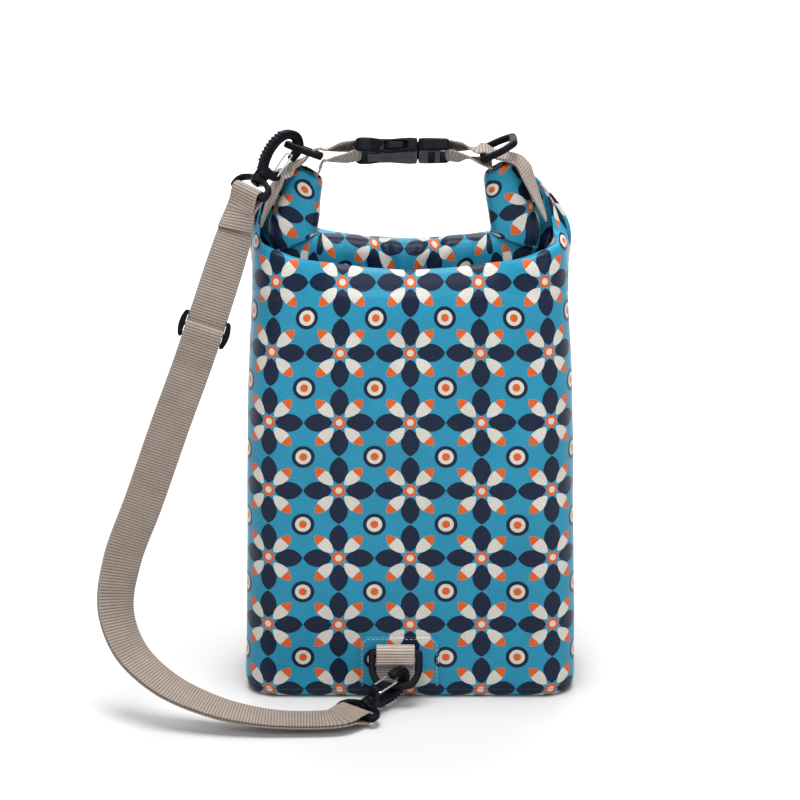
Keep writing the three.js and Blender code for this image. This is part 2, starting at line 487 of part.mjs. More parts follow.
// ---------------------------------------------------------------- top webbing, its rings and the buckle
// route of the top webbing from the buckle to the roll's end; twist is the turn about the run, in degrees
const TOP_RING = {
  right: { x: 46.5, y: -17, webY: -17, z: 356.8, bar: [0, 1, 0], dir: [0.9, 0, 0.436] },
  left:  { x: -57.8, y: -17, webY: -16.7, z: 355.8, bar: [0, 0.98, -0.2], dir: [-0.94, 0, 0.34] },
};
const ringFrames = {};
for (const [side, sign] of [['left', -1], ['right', 1]]) {
  const r = TOP_RING[side], b = unit(r.bar), d = unit(along(r.dir, b, -dot(r.dir, b))), x = b.map((v) => v * sign);
  ringFrames[side] = frameAt([r.x, r.y, r.z], x, d, cross(x, d));
  piece(`${side}_d_ring`, dRing(), 'plastic', ringFrames[side]);
}
const tilt = BUCKLE.tiltDeg * Math.PI / 180;
const buckleM = frameAt([BUCKLE.joinX, BUCKLE.y, BUCKLE.z], [1, 0, 0], [0, Math.cos(tilt), Math.sin(tilt)], [0, -Math.sin(tilt), Math.cos(tilt)]);
const SOCKET_BAR = { x: -BUCKLE.socketLen + 2.2, r: 1.9 }, PRONG_BAR = { x: BUCKLE.prongLen - 2.2, r: 1.9 };

function buckleSocket() {
  const w = BUCKLE.width / 2, L = BUCKLE.socketLen;
  const half = [[0, w - 1.2], [-5, w - 0.6], [-10, w - 1.6], [-17, w - 3.6], [-24, w - 3.2], [-30, w - 0.4], [-35, w], [-L + 4, w - 0.6], [-L + 0.8, w - 3], [-L, w - 6]];
  const outline = [...half, ...half.slice().reverse().map(([x, y]) => [x, -y])];
  const slot = block([-L + 4.4, -13.7, -20], [-L + 9.6, 13.7, 20]);
  const body = plate(outline, BUCKLE.thick, 1.6);
  const cavity = block([-27, -12.6, -2.9], [5, 12.6, 2.9]);
  const window1 = plate(rounded([[-21, -2.7, 2.6], [-6, -2.7, 2.6], [-6, 2.7, 2.6], [-21, 2.7, 2.6]], 3), 60, 0);
  window1.rotateX(Math.PI / 2);
  const end = block([-L - 1, -13.7, -20], [-L + 4.5, 13.7, 20]);
  return join(cut(body, slot, cavity, window1, end), rod(SOCKET_BAR.r, 28, 'y', [SOCKET_BAR.x, 0, 0], 16));
}
function buckleProng() {
  const w = BUCKLE.width / 2, L = BUCKLE.prongLen;
  const half = [[0.5, w - 1.0], [4, w], [9, w], [L - 5, w - 1], [L - 1.2, w - 3.5], [L, w - 7]];
  const outline = [...half, ...half.slice().reverse().map(([x, y]) => [x, -y])];
  const slot1 = block([L - 9.2, -13.7, -20], [L - 4.4, 13.7, 20]);
  const slot2 = block([7, -12.4, -20], [L - 12.6, 12.4, 20]);
  const end = block([L - 4.5, -13.7, -20], [L + 1, 13.7, 20]);
  const body = join(cut(plate(outline, BUCKLE.thick - 1, 1.4), slot1, slot2, end), rod(PRONG_BAR.r, 28, 'y', [PRONG_BAR.x, 0, 0], 16));
  const arms = [1, -1].map((s) => {
    const pts = [[3, 7.4], [3, 12], [-7.2, 12.0], [-9.4, 13.9], [-18.0, 13.4], [-21.5, 10.8], [-21, 9], [-14, 7.8]].map(([x, y]) => [x, y * s]);
    return plate(s > 0 ? pts : pts.reverse(), 4.6, 0.6);
  });
  const tongue = plate([[3, -3.4], [3, 3.4], [-20, 2.6], [-22, 0], [-20, -2.6]], 4.2, 0.6);
  return join(body, ...arms.map((a) => outward(indexed(a))), outward(indexed(tongue)));
}
piece('buckle_socket', buckleSocket(), 'plastic', buckleM);
piece('buckle_prong', buckleProng(), 'plastic', buckleM);

// one length of webbing a side: sewn to the inner side of the roll's end, up to the buckle's bar, round it,
// back over the ring's bar, over the tip of the roll and down its outer side
const WEB_CLEAR = 1.2, OUTER_Y = 2.6, OUTER_TURN = { left: 14, right: 17 };   // off the cloth, how far to the front on the outer side, turn towards the front in degrees
const TIP_OVER = {                                  // over the ring's bar and the roll's tip
  right: [{ x: 43.2, z: 360.4 }, { x: 46.5, z: 361.0 }, { x: 49.6, z: 359.7 }, { x: 53, z: 357.4 }, { x: 57, z: 356.2 }, { x: 61, z: 355.6 }, { x: 65, z: 354.8 }, { x: 69, z: 353.0 }, { x: 71.6, z: 350.2 }],
  left:  [{ x: -54.2, z: 359.8 }, { x: -57.8, z: 360.4 }, { x: -61.3, z: 359.3 }, { x: -64.2, z: 357.0 }, { x: -67.0, z: 353.8 }, { x: -70.8, z: 351.6 }, { x: -75.0, z: 349.6 }, { x: -77.6, z: 345.8 }],
};
const TIP_INNER = {                                 // from the roll's tip, under the ring's bar, towards the buckle
  right: [{ x: 52.0, z: 350.0 }, { x: 49.2, z: 351.2 }, { x: 46.8, z: 352.2 }, { x: 43.5, z: 352.8 }, { x: 38, z: 354.2 }],
  left:  [{ x: -58.4, z: 345.2 }, { x: -57.4, z: 347.6 }, { x: -56.8, z: 350.0 }, { x: -55.6, z: 351.8 }, { x: -53, z: 352.6 }, { x: -48.5, z: 353.0 }],
};
const OUTER_Q = [0.95, 0.90, 0.85, 0.80, 0.75, 0.70];
function topWebbing(side) {
  const s = side === 'right' ? 1 : -1, ring = TOP_RING[side], bar = side === 'right' ? PRONG_BAR : SOCKET_BAR;
  const c = toWorld(buckleM, [bar.x, 0, 0]), r = bar.r + 0.5 + WEB.thick / 2;
  const wB = unit([0, Math.cos(tilt), Math.sin(tilt)]), nB = unit([0, -Math.sin(tilt), Math.cos(tilt)]), flat = [0, 1, 0], wR = unit(ring.bar);
  const st = [];
  const add = (p, w) => st.push({ p, w });
  const onTube = (q) => { const f = spine(s * q), n = -(f.h + WEB_CLEAR + WEB.thick / 2); return [f.x + f.nx * n, ring.webY - OUTER_Y, f.z + f.nz * n]; };
  const faced = (k) => { const a = OUTER_TURN[side] * Math.PI / 180 * k; return [s * Math.sin(a), Math.cos(a), 0]; };
  const inner = TIP_INNER[side], over = TIP_OVER[side];
  inner.forEach((p, i) => add([p.x, ring.webY, p.z], unit(mix(wR, wB, Math.max(0, i - inner.length + 2.6) / 4))));
  const at = (k) => { const f = Math.PI * k / 6; return along(along(c, nB, -r * Math.cos(f)), [-s, 0, 0], r * Math.sin(f)); };
  add(along(mix([inner[inner.length - 1].x, ring.webY, inner[inner.length - 1].z], at(0), 0.5), nB, -0.6), unit(mix(flat, wB, 0.85)));
  for (let k = 0; k <= 6; k++) add(at(k), wB);
  add(along(mix([over[0].x, ring.webY, over[0].z], at(6), 0.5), nB, 0.6), unit(mix(wR, wB, 0.75)));
  over.forEach((p, i) => add([p.x, ring.webY - OUTER_Y * Math.max(0, (i - 3) / (over.length - 3)), p.z], unit(mix(wR, faced(1), Math.max(0, (i - 3) / (over.length - 3))))));
  OUTER_Q.forEach((q, i) => add(onTube(q), faced(1 - i / (OUTER_Q.length - 1))));
  return ribbon(st, WEB.width, WEB.thick);
}
piece('left_top_webbing', topWebbing('left'), 'webbing');
piece('right_top_webbing', topWebbing('right'), 'webbing');

// ---------------------------------------------------------------- hooks in place
const LOWER_SEAT = toWorld(lowerRing, [-1.5, RING.depth, 0]);
const lowerHook = hookFrame(LOWER_SEAT, [0.67, 0.69, 0.255], [-1, 0, 0], 0, [-0.7, 20.6]);
const UPPER_SEAT = toWorld(ringFrames.left, [3.0, RING.depth, 0]);
const upperHook = hookFrame(UPPER_SEAT, [0.60, 0.40, 0.69], [0, -0.98, 0.2], -27, [0.9, 24.1]);
const EYE_TURN = { upper: -75, lower: 76 };
for (const [name, m] of [['upper', upperHook], ['lower', lowerHook]]) {
  piece(`${name}_hook`, hookBody(), 'plastic', m);
  piece(`${name}_gate`, hookGate(), 'steel', m);
  piece(`${name}_swivel_eye`, hookEye(), 'plastic', turned(m, EYE_TURN[name]));
}

// ---------------------------------------------------------------- sling strap and its slider
// middle line of the strap's single (back) layer from the upper eye to the lower eye, with the direction across it
const upperEye = turned(upperHook, EYE_TURN.upper), lowerEye = turned(lowerHook, EYE_TURN.lower);
const EYE_TOP = toWorld(upperEye, [0, EYE.barY, 0]), EYE_LOW = toWorld(lowerEye, [0, EYE.barY, 0]);
const acrossOf = (m, s) => [m.elements[0] * s, m.elements[1] * s, m.elements[2] * s];
const STRAP_ROUTE = [
  { x: -112.0, y: -41.5, z: 309,  across: [0.86, -0.42, -0.26] },
  { x: -119.8, y: -45.5, z: 285,  across: [0.94, -0.16, -0.32] },
  { x: -129.5, y: -51,   z: 256,  across: [0.95, -0.04, -0.31] },
  { x: -140,   y: -57,   z: 226,  across: [0.95, 0.00, -0.31] },
  { x: -153,   y: -60,   z: 191,  across: [0.94, 0.00, -0.33] },
  { x: -171,   y: -63,   z: 140,  across: [0.94, 0.06, -0.32] },
  { x: -186,   y: -67,   z: 100,  across: [0.93, 0.25, -0.25] },
  { x: -190.5, y: -73,   z: 69,   across: [0.86, 0.48, -0.14] },
  { x: -181,   y: -85,   z: 45,   across: [0.72, 0.68, 0.05] },
  { x: -158,   y: -98,   z: 26.5, across: [0.48, 0.86, 0.14] },
  { x: -126,   y: -107,  z: 14,   across: [0.22, 0.97, 0.10] },
  { x: -100,   y: -110,  z: 8.5,  across: [0.08, 0.99, 0.04] },
  { x: -76,    y: -110,  z: 6,    across: [-0.12, 0.99, 0.00] },
];
const STRAP_FIRST = { p: EYE_TOP, across: acrossOf(upperEye, 1) };
const STRAP_LAST = { p: EYE_LOW, across: acrossOf(lowerEye, -1) };
// at each eye the strap runs square to the eye's bar for a short way
const LEAVE_DEG = 24;
const eyeAxis = (k) => [upperEye.elements[4 * k], upperEye.elements[4 * k + 1], upperEye.elements[4 * k + 2]];
const leave = along(eyeAxis(1).map((v) => -v * Math.cos(LEAVE_DEG * Math.PI / 180)), eyeAxis(2), -Math.sin(LEAVE_DEG * Math.PI / 180));
const arrive = unit(cross(STRAP_LAST.across, [0, 0, 1]));
const strapPoints = [
  STRAP_FIRST, ...[7, 13].map((d) => ({ p: along(EYE_TOP, leave, d), across: STRAP_FIRST.across })),
  ...STRAP_ROUTE.map((r) => ({ p: [r.x, r.y, r.z], across: r.across })),
  ...[16, 8].map((d) => ({ p: along(EYE_LOW, arrive, -d), across: STRAP_LAST.across })), STRAP_LAST,
];
const strapLine = new THREE.CatmullRomCurve3(strapPoints.map((r) => v3(r.p)), false, 'centripetal');
strapLine.arcLengthDivisions = 600;
const STRAP_LENGTH = strapLine.getLength();
// station on the middle line at arc length s: place, run, across and face directions
function strapAt(s) {
  const u = Math.min(1, Math.max(0, s / STRAP_LENGTH)), t = strapLine.getUtoTmapping(u), n = strapPoints.length - 1;
  const p = strapLine.getPoint(t), d = strapLine.getTangent(t);
  const k = t * n, a = Math.min(n - 1, Math.floor(k));
  const run = [d.x, d.y, d.z], mixed = mix(strapPoints[a].across, strapPoints[a + 1].across, k - a);
  const w = unit(along(mixed, run, -dot(mixed, run)));
  return { p: [p.x, p.y, p.z], run, w, face: cross(run, w) };
}
const SLIDER = { at: 92, barR: 1.2, centre: 3.9, outer: -2.35, spread: 7.2, cheek: 13.0, cheekW: 3.8, length: 19 };
const LOOP_R = Math.max(EYE.barHalf, EYE.thick / 2) + 0.6 + WEB.thick / 2;
const FRONT = WEB.thick + LAYER_GAP;
const LAP = { upper: 26, slider: 17 };
const ease = (a, b, s) => { const t = Math.min(1, Math.max(0, (s - a) / (b - a))); return t * t * (3 - 2 * t); };
function strapStations() {
  const st = [];
  const put = (s, off) => { const f = strapAt(s); st.push({ p: along(f.p, f.face, off), w: f.w }); };
  const loop = (s, centreOff, r, from, to, n, dir) => {
    const f = strapAt(s), c = along(f.p, f.face, centreOff);
    for (let k = 0; k <= n; k++) {
      const g = (from + (to - from) * k / n) * Math.PI / 180;
      st.push({ p: along(along(c, f.face, r * Math.cos(g)), f.run, dir * r * Math.sin(g)), w: f.w });
    }
  };
  const backOff = (s) => -LOOP_R * (1 - ease(0, 12, s)) - LOOP_R * ease(STRAP_LENGTH - 16, STRAP_LENGTH, s);
  const frontOff = (s) => FRONT + (LOOP_R - FRONT) * ease(STRAP_LENGTH - 18, STRAP_LENGTH, s)
    + (FRONT) * (1 - ease(SLIDER.at + LAP.slider, SLIDER.at + LAP.slider + 8, s));
  const lapOff = (s) => FRONT + (LOOP_R - FRONT) * (1 - ease(0, 10, s));
  // sewn lap at the upper eye, up and over its bar, down the back
  for (const s of [LAP.upper, 18, 11, 6, 2.5]) put(s, lapOff(s));
  loop(0, 0, LOOP_R, 0, 180, 8, -1);
  for (const s of [3, 6, 9, 13, 20, 32, 46, 60, 74, 84, 92, 100, 112]) put(s, backOff(s));
  for (let s = 124; s < STRAP_LENGTH - 20; s += 11) put(s, backOff(s));
  for (const s of [16, 12, 8, 5, 2.5]) put(STRAP_LENGTH - s, backOff(STRAP_LENGTH - s));
  loop(STRAP_LENGTH, 0, LOOP_R, 180, 0, 8, 1);
  for (const s of [2.5, 5, 8, 12, 16]) put(STRAP_LENGTH - s, frontOff(STRAP_LENGTH - s));
  for (let s = STRAP_LENGTH - 25; s > SLIDER.at + 30; s -= 11) put(s, frontOff(s));
  // up to the slider, over its middle bar and back down between the layers
  const r = SLIDER.barR + WEB.air + WEB.thick / 2;
  put(SLIDER.at + LAP.slider + 8, FRONT); put(SLIDER.at + LAP.slider + 4, FRONT * 1.5); put(SLIDER.at + LAP.slider, FRONT * 2);
  put(SLIDER.at + 12, FRONT * 2 + 0.3); put(SLIDER.at + 7, SLIDER.centre + r - 0.8); put(SLIDER.at + 3, SLIDER.centre + r - 0.1);
  loop(SLIDER.at, SLIDER.centre, r, 0, 180, 6, -1);
  put(SLIDER.at + 4, SLIDER.centre - r); put(SLIDER.at + 9, FRONT); put(SLIDER.at + LAP.slider - 2, FRONT);
  return st;
}
piece('strap_webbing', ribbon(strapStations(), WEB.width, WEB.thick), 'webbing');

// three-bar slider: middle bar in front, two outer bars behind the strap, a cheek at each end
function slider() {
  const mid = SLIDER.cheek + SLIDER.cheekW / 2, len = 2 * mid;
  const cheeks = [1, -1].map((s) => {
    const o = rounded([[-SLIDER.length / 2, -3.6, 2.2], [SLIDER.length / 2, -3.6, 2.2], [SLIDER.length / 2 - 3, 5.4, 2.6], [-SLIDER.length / 2 + 3, 5.4, 2.6]], 3);
    const g = plate(o, SLIDER.cheekW, 0.9);
    g.rotateY(-Math.PI / 2); g.rotateX(-Math.PI / 2);      // length to y, height to z, thickness to x
    g.translate(s * mid, 0, 0);
    return g;
  });
  const bars = [rod(SLIDER.barR, len, 'x', [0, 0, SLIDER.centre], 12), ...[1, -1].map((s) => rod(SLIDER.barR, len, 'x', [0, s * SLIDER.spread, SLIDER.outer], 12))];
  return join(...cheeks, ...bars);
}
const sliderAt = strapAt(SLIDER.at);
piece('strap_slider', slider(), 'plastic', frameAt(sliderAt.p, sliderAt.w, sliderAt.run.map((v) => -v), sliderAt.face));

export default group;
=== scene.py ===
import math

import bmesh
import bpy
import numpy as np
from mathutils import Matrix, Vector, noise


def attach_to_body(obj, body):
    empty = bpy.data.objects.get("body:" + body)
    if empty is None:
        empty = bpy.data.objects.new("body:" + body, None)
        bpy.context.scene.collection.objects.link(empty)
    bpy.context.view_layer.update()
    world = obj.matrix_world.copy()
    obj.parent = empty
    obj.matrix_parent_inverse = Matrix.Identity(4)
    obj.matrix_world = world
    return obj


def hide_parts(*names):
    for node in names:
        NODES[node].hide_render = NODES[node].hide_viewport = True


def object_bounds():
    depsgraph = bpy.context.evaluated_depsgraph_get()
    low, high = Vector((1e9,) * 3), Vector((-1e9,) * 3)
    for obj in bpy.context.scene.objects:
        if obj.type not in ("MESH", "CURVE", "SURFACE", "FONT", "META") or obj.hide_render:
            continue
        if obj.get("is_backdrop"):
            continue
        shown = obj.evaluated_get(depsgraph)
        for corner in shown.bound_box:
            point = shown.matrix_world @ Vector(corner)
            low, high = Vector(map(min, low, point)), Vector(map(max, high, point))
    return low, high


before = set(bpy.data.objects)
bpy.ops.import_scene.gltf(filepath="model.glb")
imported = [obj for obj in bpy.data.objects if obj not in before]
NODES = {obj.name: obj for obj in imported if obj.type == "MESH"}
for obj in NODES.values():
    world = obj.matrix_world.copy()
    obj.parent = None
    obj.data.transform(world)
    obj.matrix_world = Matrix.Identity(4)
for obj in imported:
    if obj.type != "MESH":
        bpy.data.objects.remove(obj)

CAD_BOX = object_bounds()
MM = 0.001


# ------------------------------------------------------------------ camera
def make_camera():
    target, rise, away = Vector((-6.6, -53.0, 204.0)) * MM, math.radians(17.0), 2.4
    data = bpy.data.cameras.new("view_camera")
    data.lens, data.sensor_width = 168.75, 36.0
    ob = bpy.data.objects.new("view_camera", data)
    bpy.context.collection.objects.link(ob)
    ob.location = target + Vector((0, -math.cos(rise), math.sin(rise))) * away
    ob.rotation_euler = (math.pi / 2 - rise, 0, 0)
    data.clip_end = 50
    bpy.context.scene.camera = ob


make_camera()


# ------------------------------------------------------------------ small helpers
def smooth(a, b, x):
    t = min(1.0, max(0.0, (x - a) / (b - a)))
    return t * t * (3 - 2 * t)


def lerp(a, b, t):
    return a + (b - a) * t


def vec(*p):
    return np.array(p, float)


def unit(v):
    v = np.asarray(v, float)
    return v / np.linalg.norm(v)


def table(rows, at):
    """Values of the row at a key, straight between rows; the first column is the key."""
    i = 1
    while i < len(rows) - 1 and rows[i][0] < at:
        i += 1
    a, b = rows[i - 1], rows[i]
    t = min(1.0, max(0.0, (at - a[0]) / (b[0] - a[0])))
    return [lerp(x, y, t) for x, y in zip(a[1:], b[1:])]


def catmull(pts, u):
    pts = np.asarray(pts, float)
    i = min(len(pts) - 2, int(math.floor(u)))
    t = u - i
    p0, p1, p2, p3 = pts[max(0, i - 1)], pts[i], pts[i + 1], pts[min(len(pts) - 1, i + 2)]
    return 0.5 * (2 * p1 + (p2 - p0) * t + (2 * p0 - 5 * p1 + 4 * p2 - p3) * t * t + (3 * p1 - p0 - 3 * p2 + p3) * t ** 3)


def centripetal(pts, n):
    """Points on a centripetal spline through pts, n to a span, with the place along pts of each."""
    pts = np.asarray(pts, float)
    ext = np.vstack([2 * pts[0] - pts[1], pts, 2 * pts[-1] - pts[-2]])
    out, at = [], []
    for i in range(len(pts) - 1):
        p0, p1, p2, p3 = ext[i:i + 4]
        d = [max(1e-4, np.linalg.norm(b - a) ** 0.5) for a, b in ((p0, p1), (p1, p2), (p2, p3))]
        t1 = ((p1 - p0) / d[0] - (p2 - p0) / (d[0] + d[1]) + (p2 - p1) / d[1]) * d[1]
        t2 = ((p2 - p1) / d[1] - (p3 - p1) / (d[1] + d[2]) + (p3 - p2) / d[2]) * d[1]
        for k in range(n):
            t = k / n
            out.append(p1 + t1 * t + (-3 * p1 + 3 * p2 - 2 * t1 - t2) * t * t + (2 * p1 - 2 * p2 + t1 + t2) * t ** 3)
            at.append(i + t)
    out.append(pts[-1])
    at.append(len(pts) - 1)
    return np.array(out), np.array(at)


def frame_at(origin, x, y, z):
    m = np.eye(4)
    m[:3, 0], m[:3, 1], m[:3, 2], m[:3, 3] = x, y, z, origin
    return m


def placed(m, pts):
    pts = np.atleast_2d(np.asarray(pts, float))
    return pts @ m[:3, :3].T + m[:3, 3]


def turned(m, deg):
    c, s = math.cos(math.radians(deg)), math.sin(math.radians(deg))
    r = np.eye(4)
    r[0, 0], r[0, 2], r[2, 0], r[2, 2] = c, s, -s, c
    return m @ r


PIECES = {}


def add_piece(name, verts, faces, material, body="bag", uv=None, replaces=(), extra=(), index=None):
    """A mesh piece from points in mm; uv is one pair for each face corner, in mm."""
    me = bpy.data.meshes.new(name)
    me.from_pydata((np.asarray(verts, float) * MM).tolist(), [], faces)
    if uv is not None:
        layer = me.uv_layers.new(name="cloth")
        layer.data.foreach_set("uv", (np.asarray(uv, np.float32) / 100).ravel())
    me.update()
    ob = bpy.data.objects.new(name, me)
    bpy.context.collection.objects.link(ob)
    for m in (material, *extra):
        me.materials.append(m)
    if index is not None:
        me.polygons.foreach_set("material_index", np.asarray(index, np.int32))
    me.polygons.foreach_set("use_smooth", np.ones(len(me.polygons), bool))
    finish_piece(ob, body, replaces)
    return ob


def finish_piece(ob, body, replaces=()):
    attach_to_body(ob, body)
    if replaces:
        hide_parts(*replaces)
    PIECES[ob.name] = ob


# ------------------------------------------------------------------ shader nodes
class Nodes:
    """Short names for shader nodes; every call gives back an output socket."""

    def __init__(self, name):
        self.mat = bpy.data.materials.new(name)
        self.mat.use_nodes = True
        self.t = self.mat.node_tree
        self.t.nodes.clear()
        self.bsdf = self.t.nodes.new("ShaderNodeBsdfPrincipled")
        out = self.t.nodes.new("ShaderNodeOutputMaterial")
        self.t.links.new(self.bsdf.outputs[0], out.inputs[0])

    def put(self, socket, value):
        if isinstance(value, bpy.types.NodeSocket):
            self.t.links.new(value, socket)
        else:
            socket.default_value = value

    def math(self, op, *args, clamp=False):
        n = self.t.nodes.new("ShaderNodeMath")
        n.operation, n.use_clamp = op, clamp
        for s, a in zip(n.inputs, args):
            self.put(s, a)
        return n.outputs[0]

    def add(self, a, b): return self.math("ADD", a, b)
    def sub(self, a, b): return self.math("SUBTRACT", a, b)
    def mul(self, a, b): return self.math("MULTIPLY", a, b)
    def div(self, a, b): return self.math("DIVIDE", a, b)
    def abs(self, a): return self.math("ABSOLUTE", a)
    def sin(self, a): return self.math("SINE", a)
    def max(self, a, b): return self.math("MAXIMUM", a, b)
    def min(self, a, b): return self.math("MINIMUM", a, b)
    def length(self, a, b): return self.math("SQRT", self.add(self.mul(a, a), self.mul(b, b)))

    def wrap(self, a, period):
        """a folded to -period/2 .. period/2"""
        f = self.math("FRACT", self.add(self.div(a, period), 0.5))
        return self.mul(self.sub(f, 0.5), period)

    def ramp(self, a, low, high, to=(0.0, 1.0), kind="SMOOTHSTEP"):
        n = self.t.nodes.new("ShaderNodeMapRange")
        n.interpolation_type = kind
        self.put(n.inputs[0], a)
        for s, v in zip(n.inputs[1:5], (low, high, *to)):
            s.default_value = v
        return n.outputs[0]

    def inside(self, d, soft=0.12):
        """1 where the distance d (mm) is below zero"""
        return self.ramp(d, soft, -soft)

    def mix(self, f, a, b):
        n = self.t.nodes.new("ShaderNodeMix")
        n.data_type = "RGBA"
        self.put(n.inputs[0], f)
        self.put(n.inputs[6], a)
        self.put(n.inputs[7], b)
        return n.outputs[2]

    def scale_colour(self, colour, f):
        n = self.t.nodes.new("ShaderNodeVectorMath")
        n.operation = "SCALE"
        self.put(n.inputs[0], colour if isinstance(colour, bpy.types.NodeSocket) else colour[:3])
        self.put(n.inputs[3], f)
        return n.outputs[0]

    def uv(self):
        n = self.t.nodes.new("ShaderNodeUVMap")
        n.uv_map = "cloth"
        s = self.t.nodes.new("ShaderNodeSeparateXYZ")
        self.t.links.new(n.outputs[0], s.inputs[0])
        return self.mul(s.outputs[0], 100.0), self.mul(s.outputs[1], 100.0)

    def join(self, x, y, z=0.0):
        n = self.t.nodes.new("ShaderNodeCombineXYZ")
        for s, a in zip(n.inputs, (x, y, z)):
            self.put(s, a)
        return n.outputs[0]

    def place(self):
        return self.t.nodes.new("ShaderNodeTexCoord").outputs["Object"]

    def noise(self, vector, scale, detail=2.0, rough=0.5):
        n = self.t.nodes.new("ShaderNodeTexNoise")
        self.t.links.new(vector, n.inputs["Vector"])
        n.inputs["Scale"].default_value = scale
        n.inputs["Detail"].default_value = detail
        n.inputs["Roughness"].default_value = rough
        return n.outputs[0]

    def bump(self, height, strength, distance, normal=None):
        n = self.t.nodes.new("ShaderNodeBump")
        n.inputs["Strength"].default_value = strength
        n.inputs["Distance"].default_value = distance
        self.put(n.inputs["Height"], height)
        if normal is not None:
            self.t.links.new(normal, n.inputs["Normal"])
        return n.outputs[0]

    def set(self, **values):
        for k, v in values.items():
            self.put(self.bsdf.inputs[k.replace("_", " ")], v)


def srgb(r, g, b):
    f = lambda c: c / 12.92 if c <= 0.04045 else ((c + 0.055) / 1.055) ** 2.4
    return (f(r / 255), f(g / 255), f(b / 255), 1.0)


TEAL, NAVY = srgb(30, 125, 155), srgb(3, 22, 47)
CREAM, ORANGE = srgb(188, 186, 178), srgb(192, 83, 25)


PRINT_PITCH, PRINT_ROUND = 46.0, 13      # repeat of the print, and how many repeats go round the bag


def print_colour(n, u, v):
    """A plain lattice of leaf rosettes, rings and dots on teal; u and v in mm on the cloth."""
    pitch = PRINT_PITCH
    x, y = n.abs(n.wrap(u, pitch)), n.abs(n.wrap(v, pitch))

    def leaf(along, across, start, length, bulge):
        r = math.hypot(length / 2, bulge)
        return n.sub(n.length(n.sub(along, start + length / 2), n.add(across, bulge)), r)

    cross = n.min(leaf(x, y, 4.4, 18.4, 4.0), leaf(y, x, 4.4, 18.4, 4.0))
    k = math.sqrt(0.5)
    p, q = n.mul(n.add(x, y), k), n.abs(n.mul(n.sub(x, y), k))
    slant = leaf(p, q, 5.2, 16.5, 6.4)
    middle = n.length(x, y)
    cx, cy = n.sub(pitch / 2, x), n.sub(pitch / 2, y)
    corner = n.length(cx, cy)
    c = n.mix(n.inside(cross), TEAL, NAVY)
    c = n.mix(n.inside(slant), c, CREAM)
    c = n.mix(n.inside(n.max(slant, n.sub(15.8, p))), c, ORANGE)
    c = n.mix(n.inside(n.sub(corner, 7.4)), c, NAVY)
    c = n.mix(n.inside(n.sub(corner, 5.0)), c, CREAM)
    c = n.mix(n.inside(n.sub(corner, 2.6)), c, ORANGE)
    c = n.mix(n.inside(n.sub(middle, 4.2)), c, ORANGE)
    c = n.mix(n.inside(n.sub(middle, 2.2)), c, CREAM)
    return c


def canvas_finish(n, u, v, colour):
    """Coated canvas: satin film over a fine cloth grain; the fine specks in its colour are partly grain and partly
    painted glints of sheen.
    """
    flat = n.join(u, v)
    wide = n.noise(flat, 0.035, 2.0)
    colour = n.scale_colour(colour, n.ramp(wide, 0.3, 0.7, (0.93, 1.07), "LINEAR"))
    # speckle: partly cloth grain, partly painted glints of sheen; its brightest specks are also mixed toward a pale
    # lavender white as painted highlights
    speck_and_glint = n.noise(flat, 1.3, 2.0, 0.75)
    colour = n.scale_colour(colour, n.ramp(speck_and_glint, 0.3, 0.7, (0.77, 1.23), "LINEAR"))
    colour = n.mix(n.ramp(speck_and_glint, 0.44, 0.78, (0.0, 0.026)), colour, srgb(226, 224, 232))
    grain = n.noise(flat, 1.6, 3.0, 0.6)
    weave = n.mul(n.sin(n.mul(u, 2 * math.pi / 0.75)), n.sin(n.mul(v, 2 * math.pi / 0.75)))
    height = n.add(n.mul(grain, 0.7), n.mul(weave, 0.22))
    colour = n.scale_colour(colour, n.ramp(grain, 0.25, 0.75, (0.965, 1.035), "LINEAR"))
    n.set(Base_Color=colour, Roughness=n.ramp(grain, 0.2, 0.8, (0.30, 0.40), "LINEAR"))
    n.bsdf.inputs["Specular IOR Level"].default_value = 0.17
    n.bsdf.inputs["Sheen Weight"].default_value = 0.0
    n.bsdf.inputs["Sheen Roughness"].default_value = 0.4
    n.put(n.bsdf.inputs["Normal"], n.bump(n.add(height, n.mul(speck_and_glint, 0.35)), 0.3, 0.00012))


def canvas_material():
    n = Nodes("printed_canvas")
    u, v = n.uv()
    bleed = n.noise(n.join(u, v), 0.9, 1.0)
    shift = n.mul(n.sub(bleed, 0.5), 0.25)
    canvas_finish(n, u, v, print_colour(n, n.add(u, shift), n.add(v, shift)))
    return n.mat


def backing_material():
    n = Nodes("canvas_backing")
    u, v = n.uv()
    canvas_finish(n, u, v, srgb(112, 116, 120))
    n.bsdf.inputs["Sheen Weight"].default_value = 0.0
    return n.mat


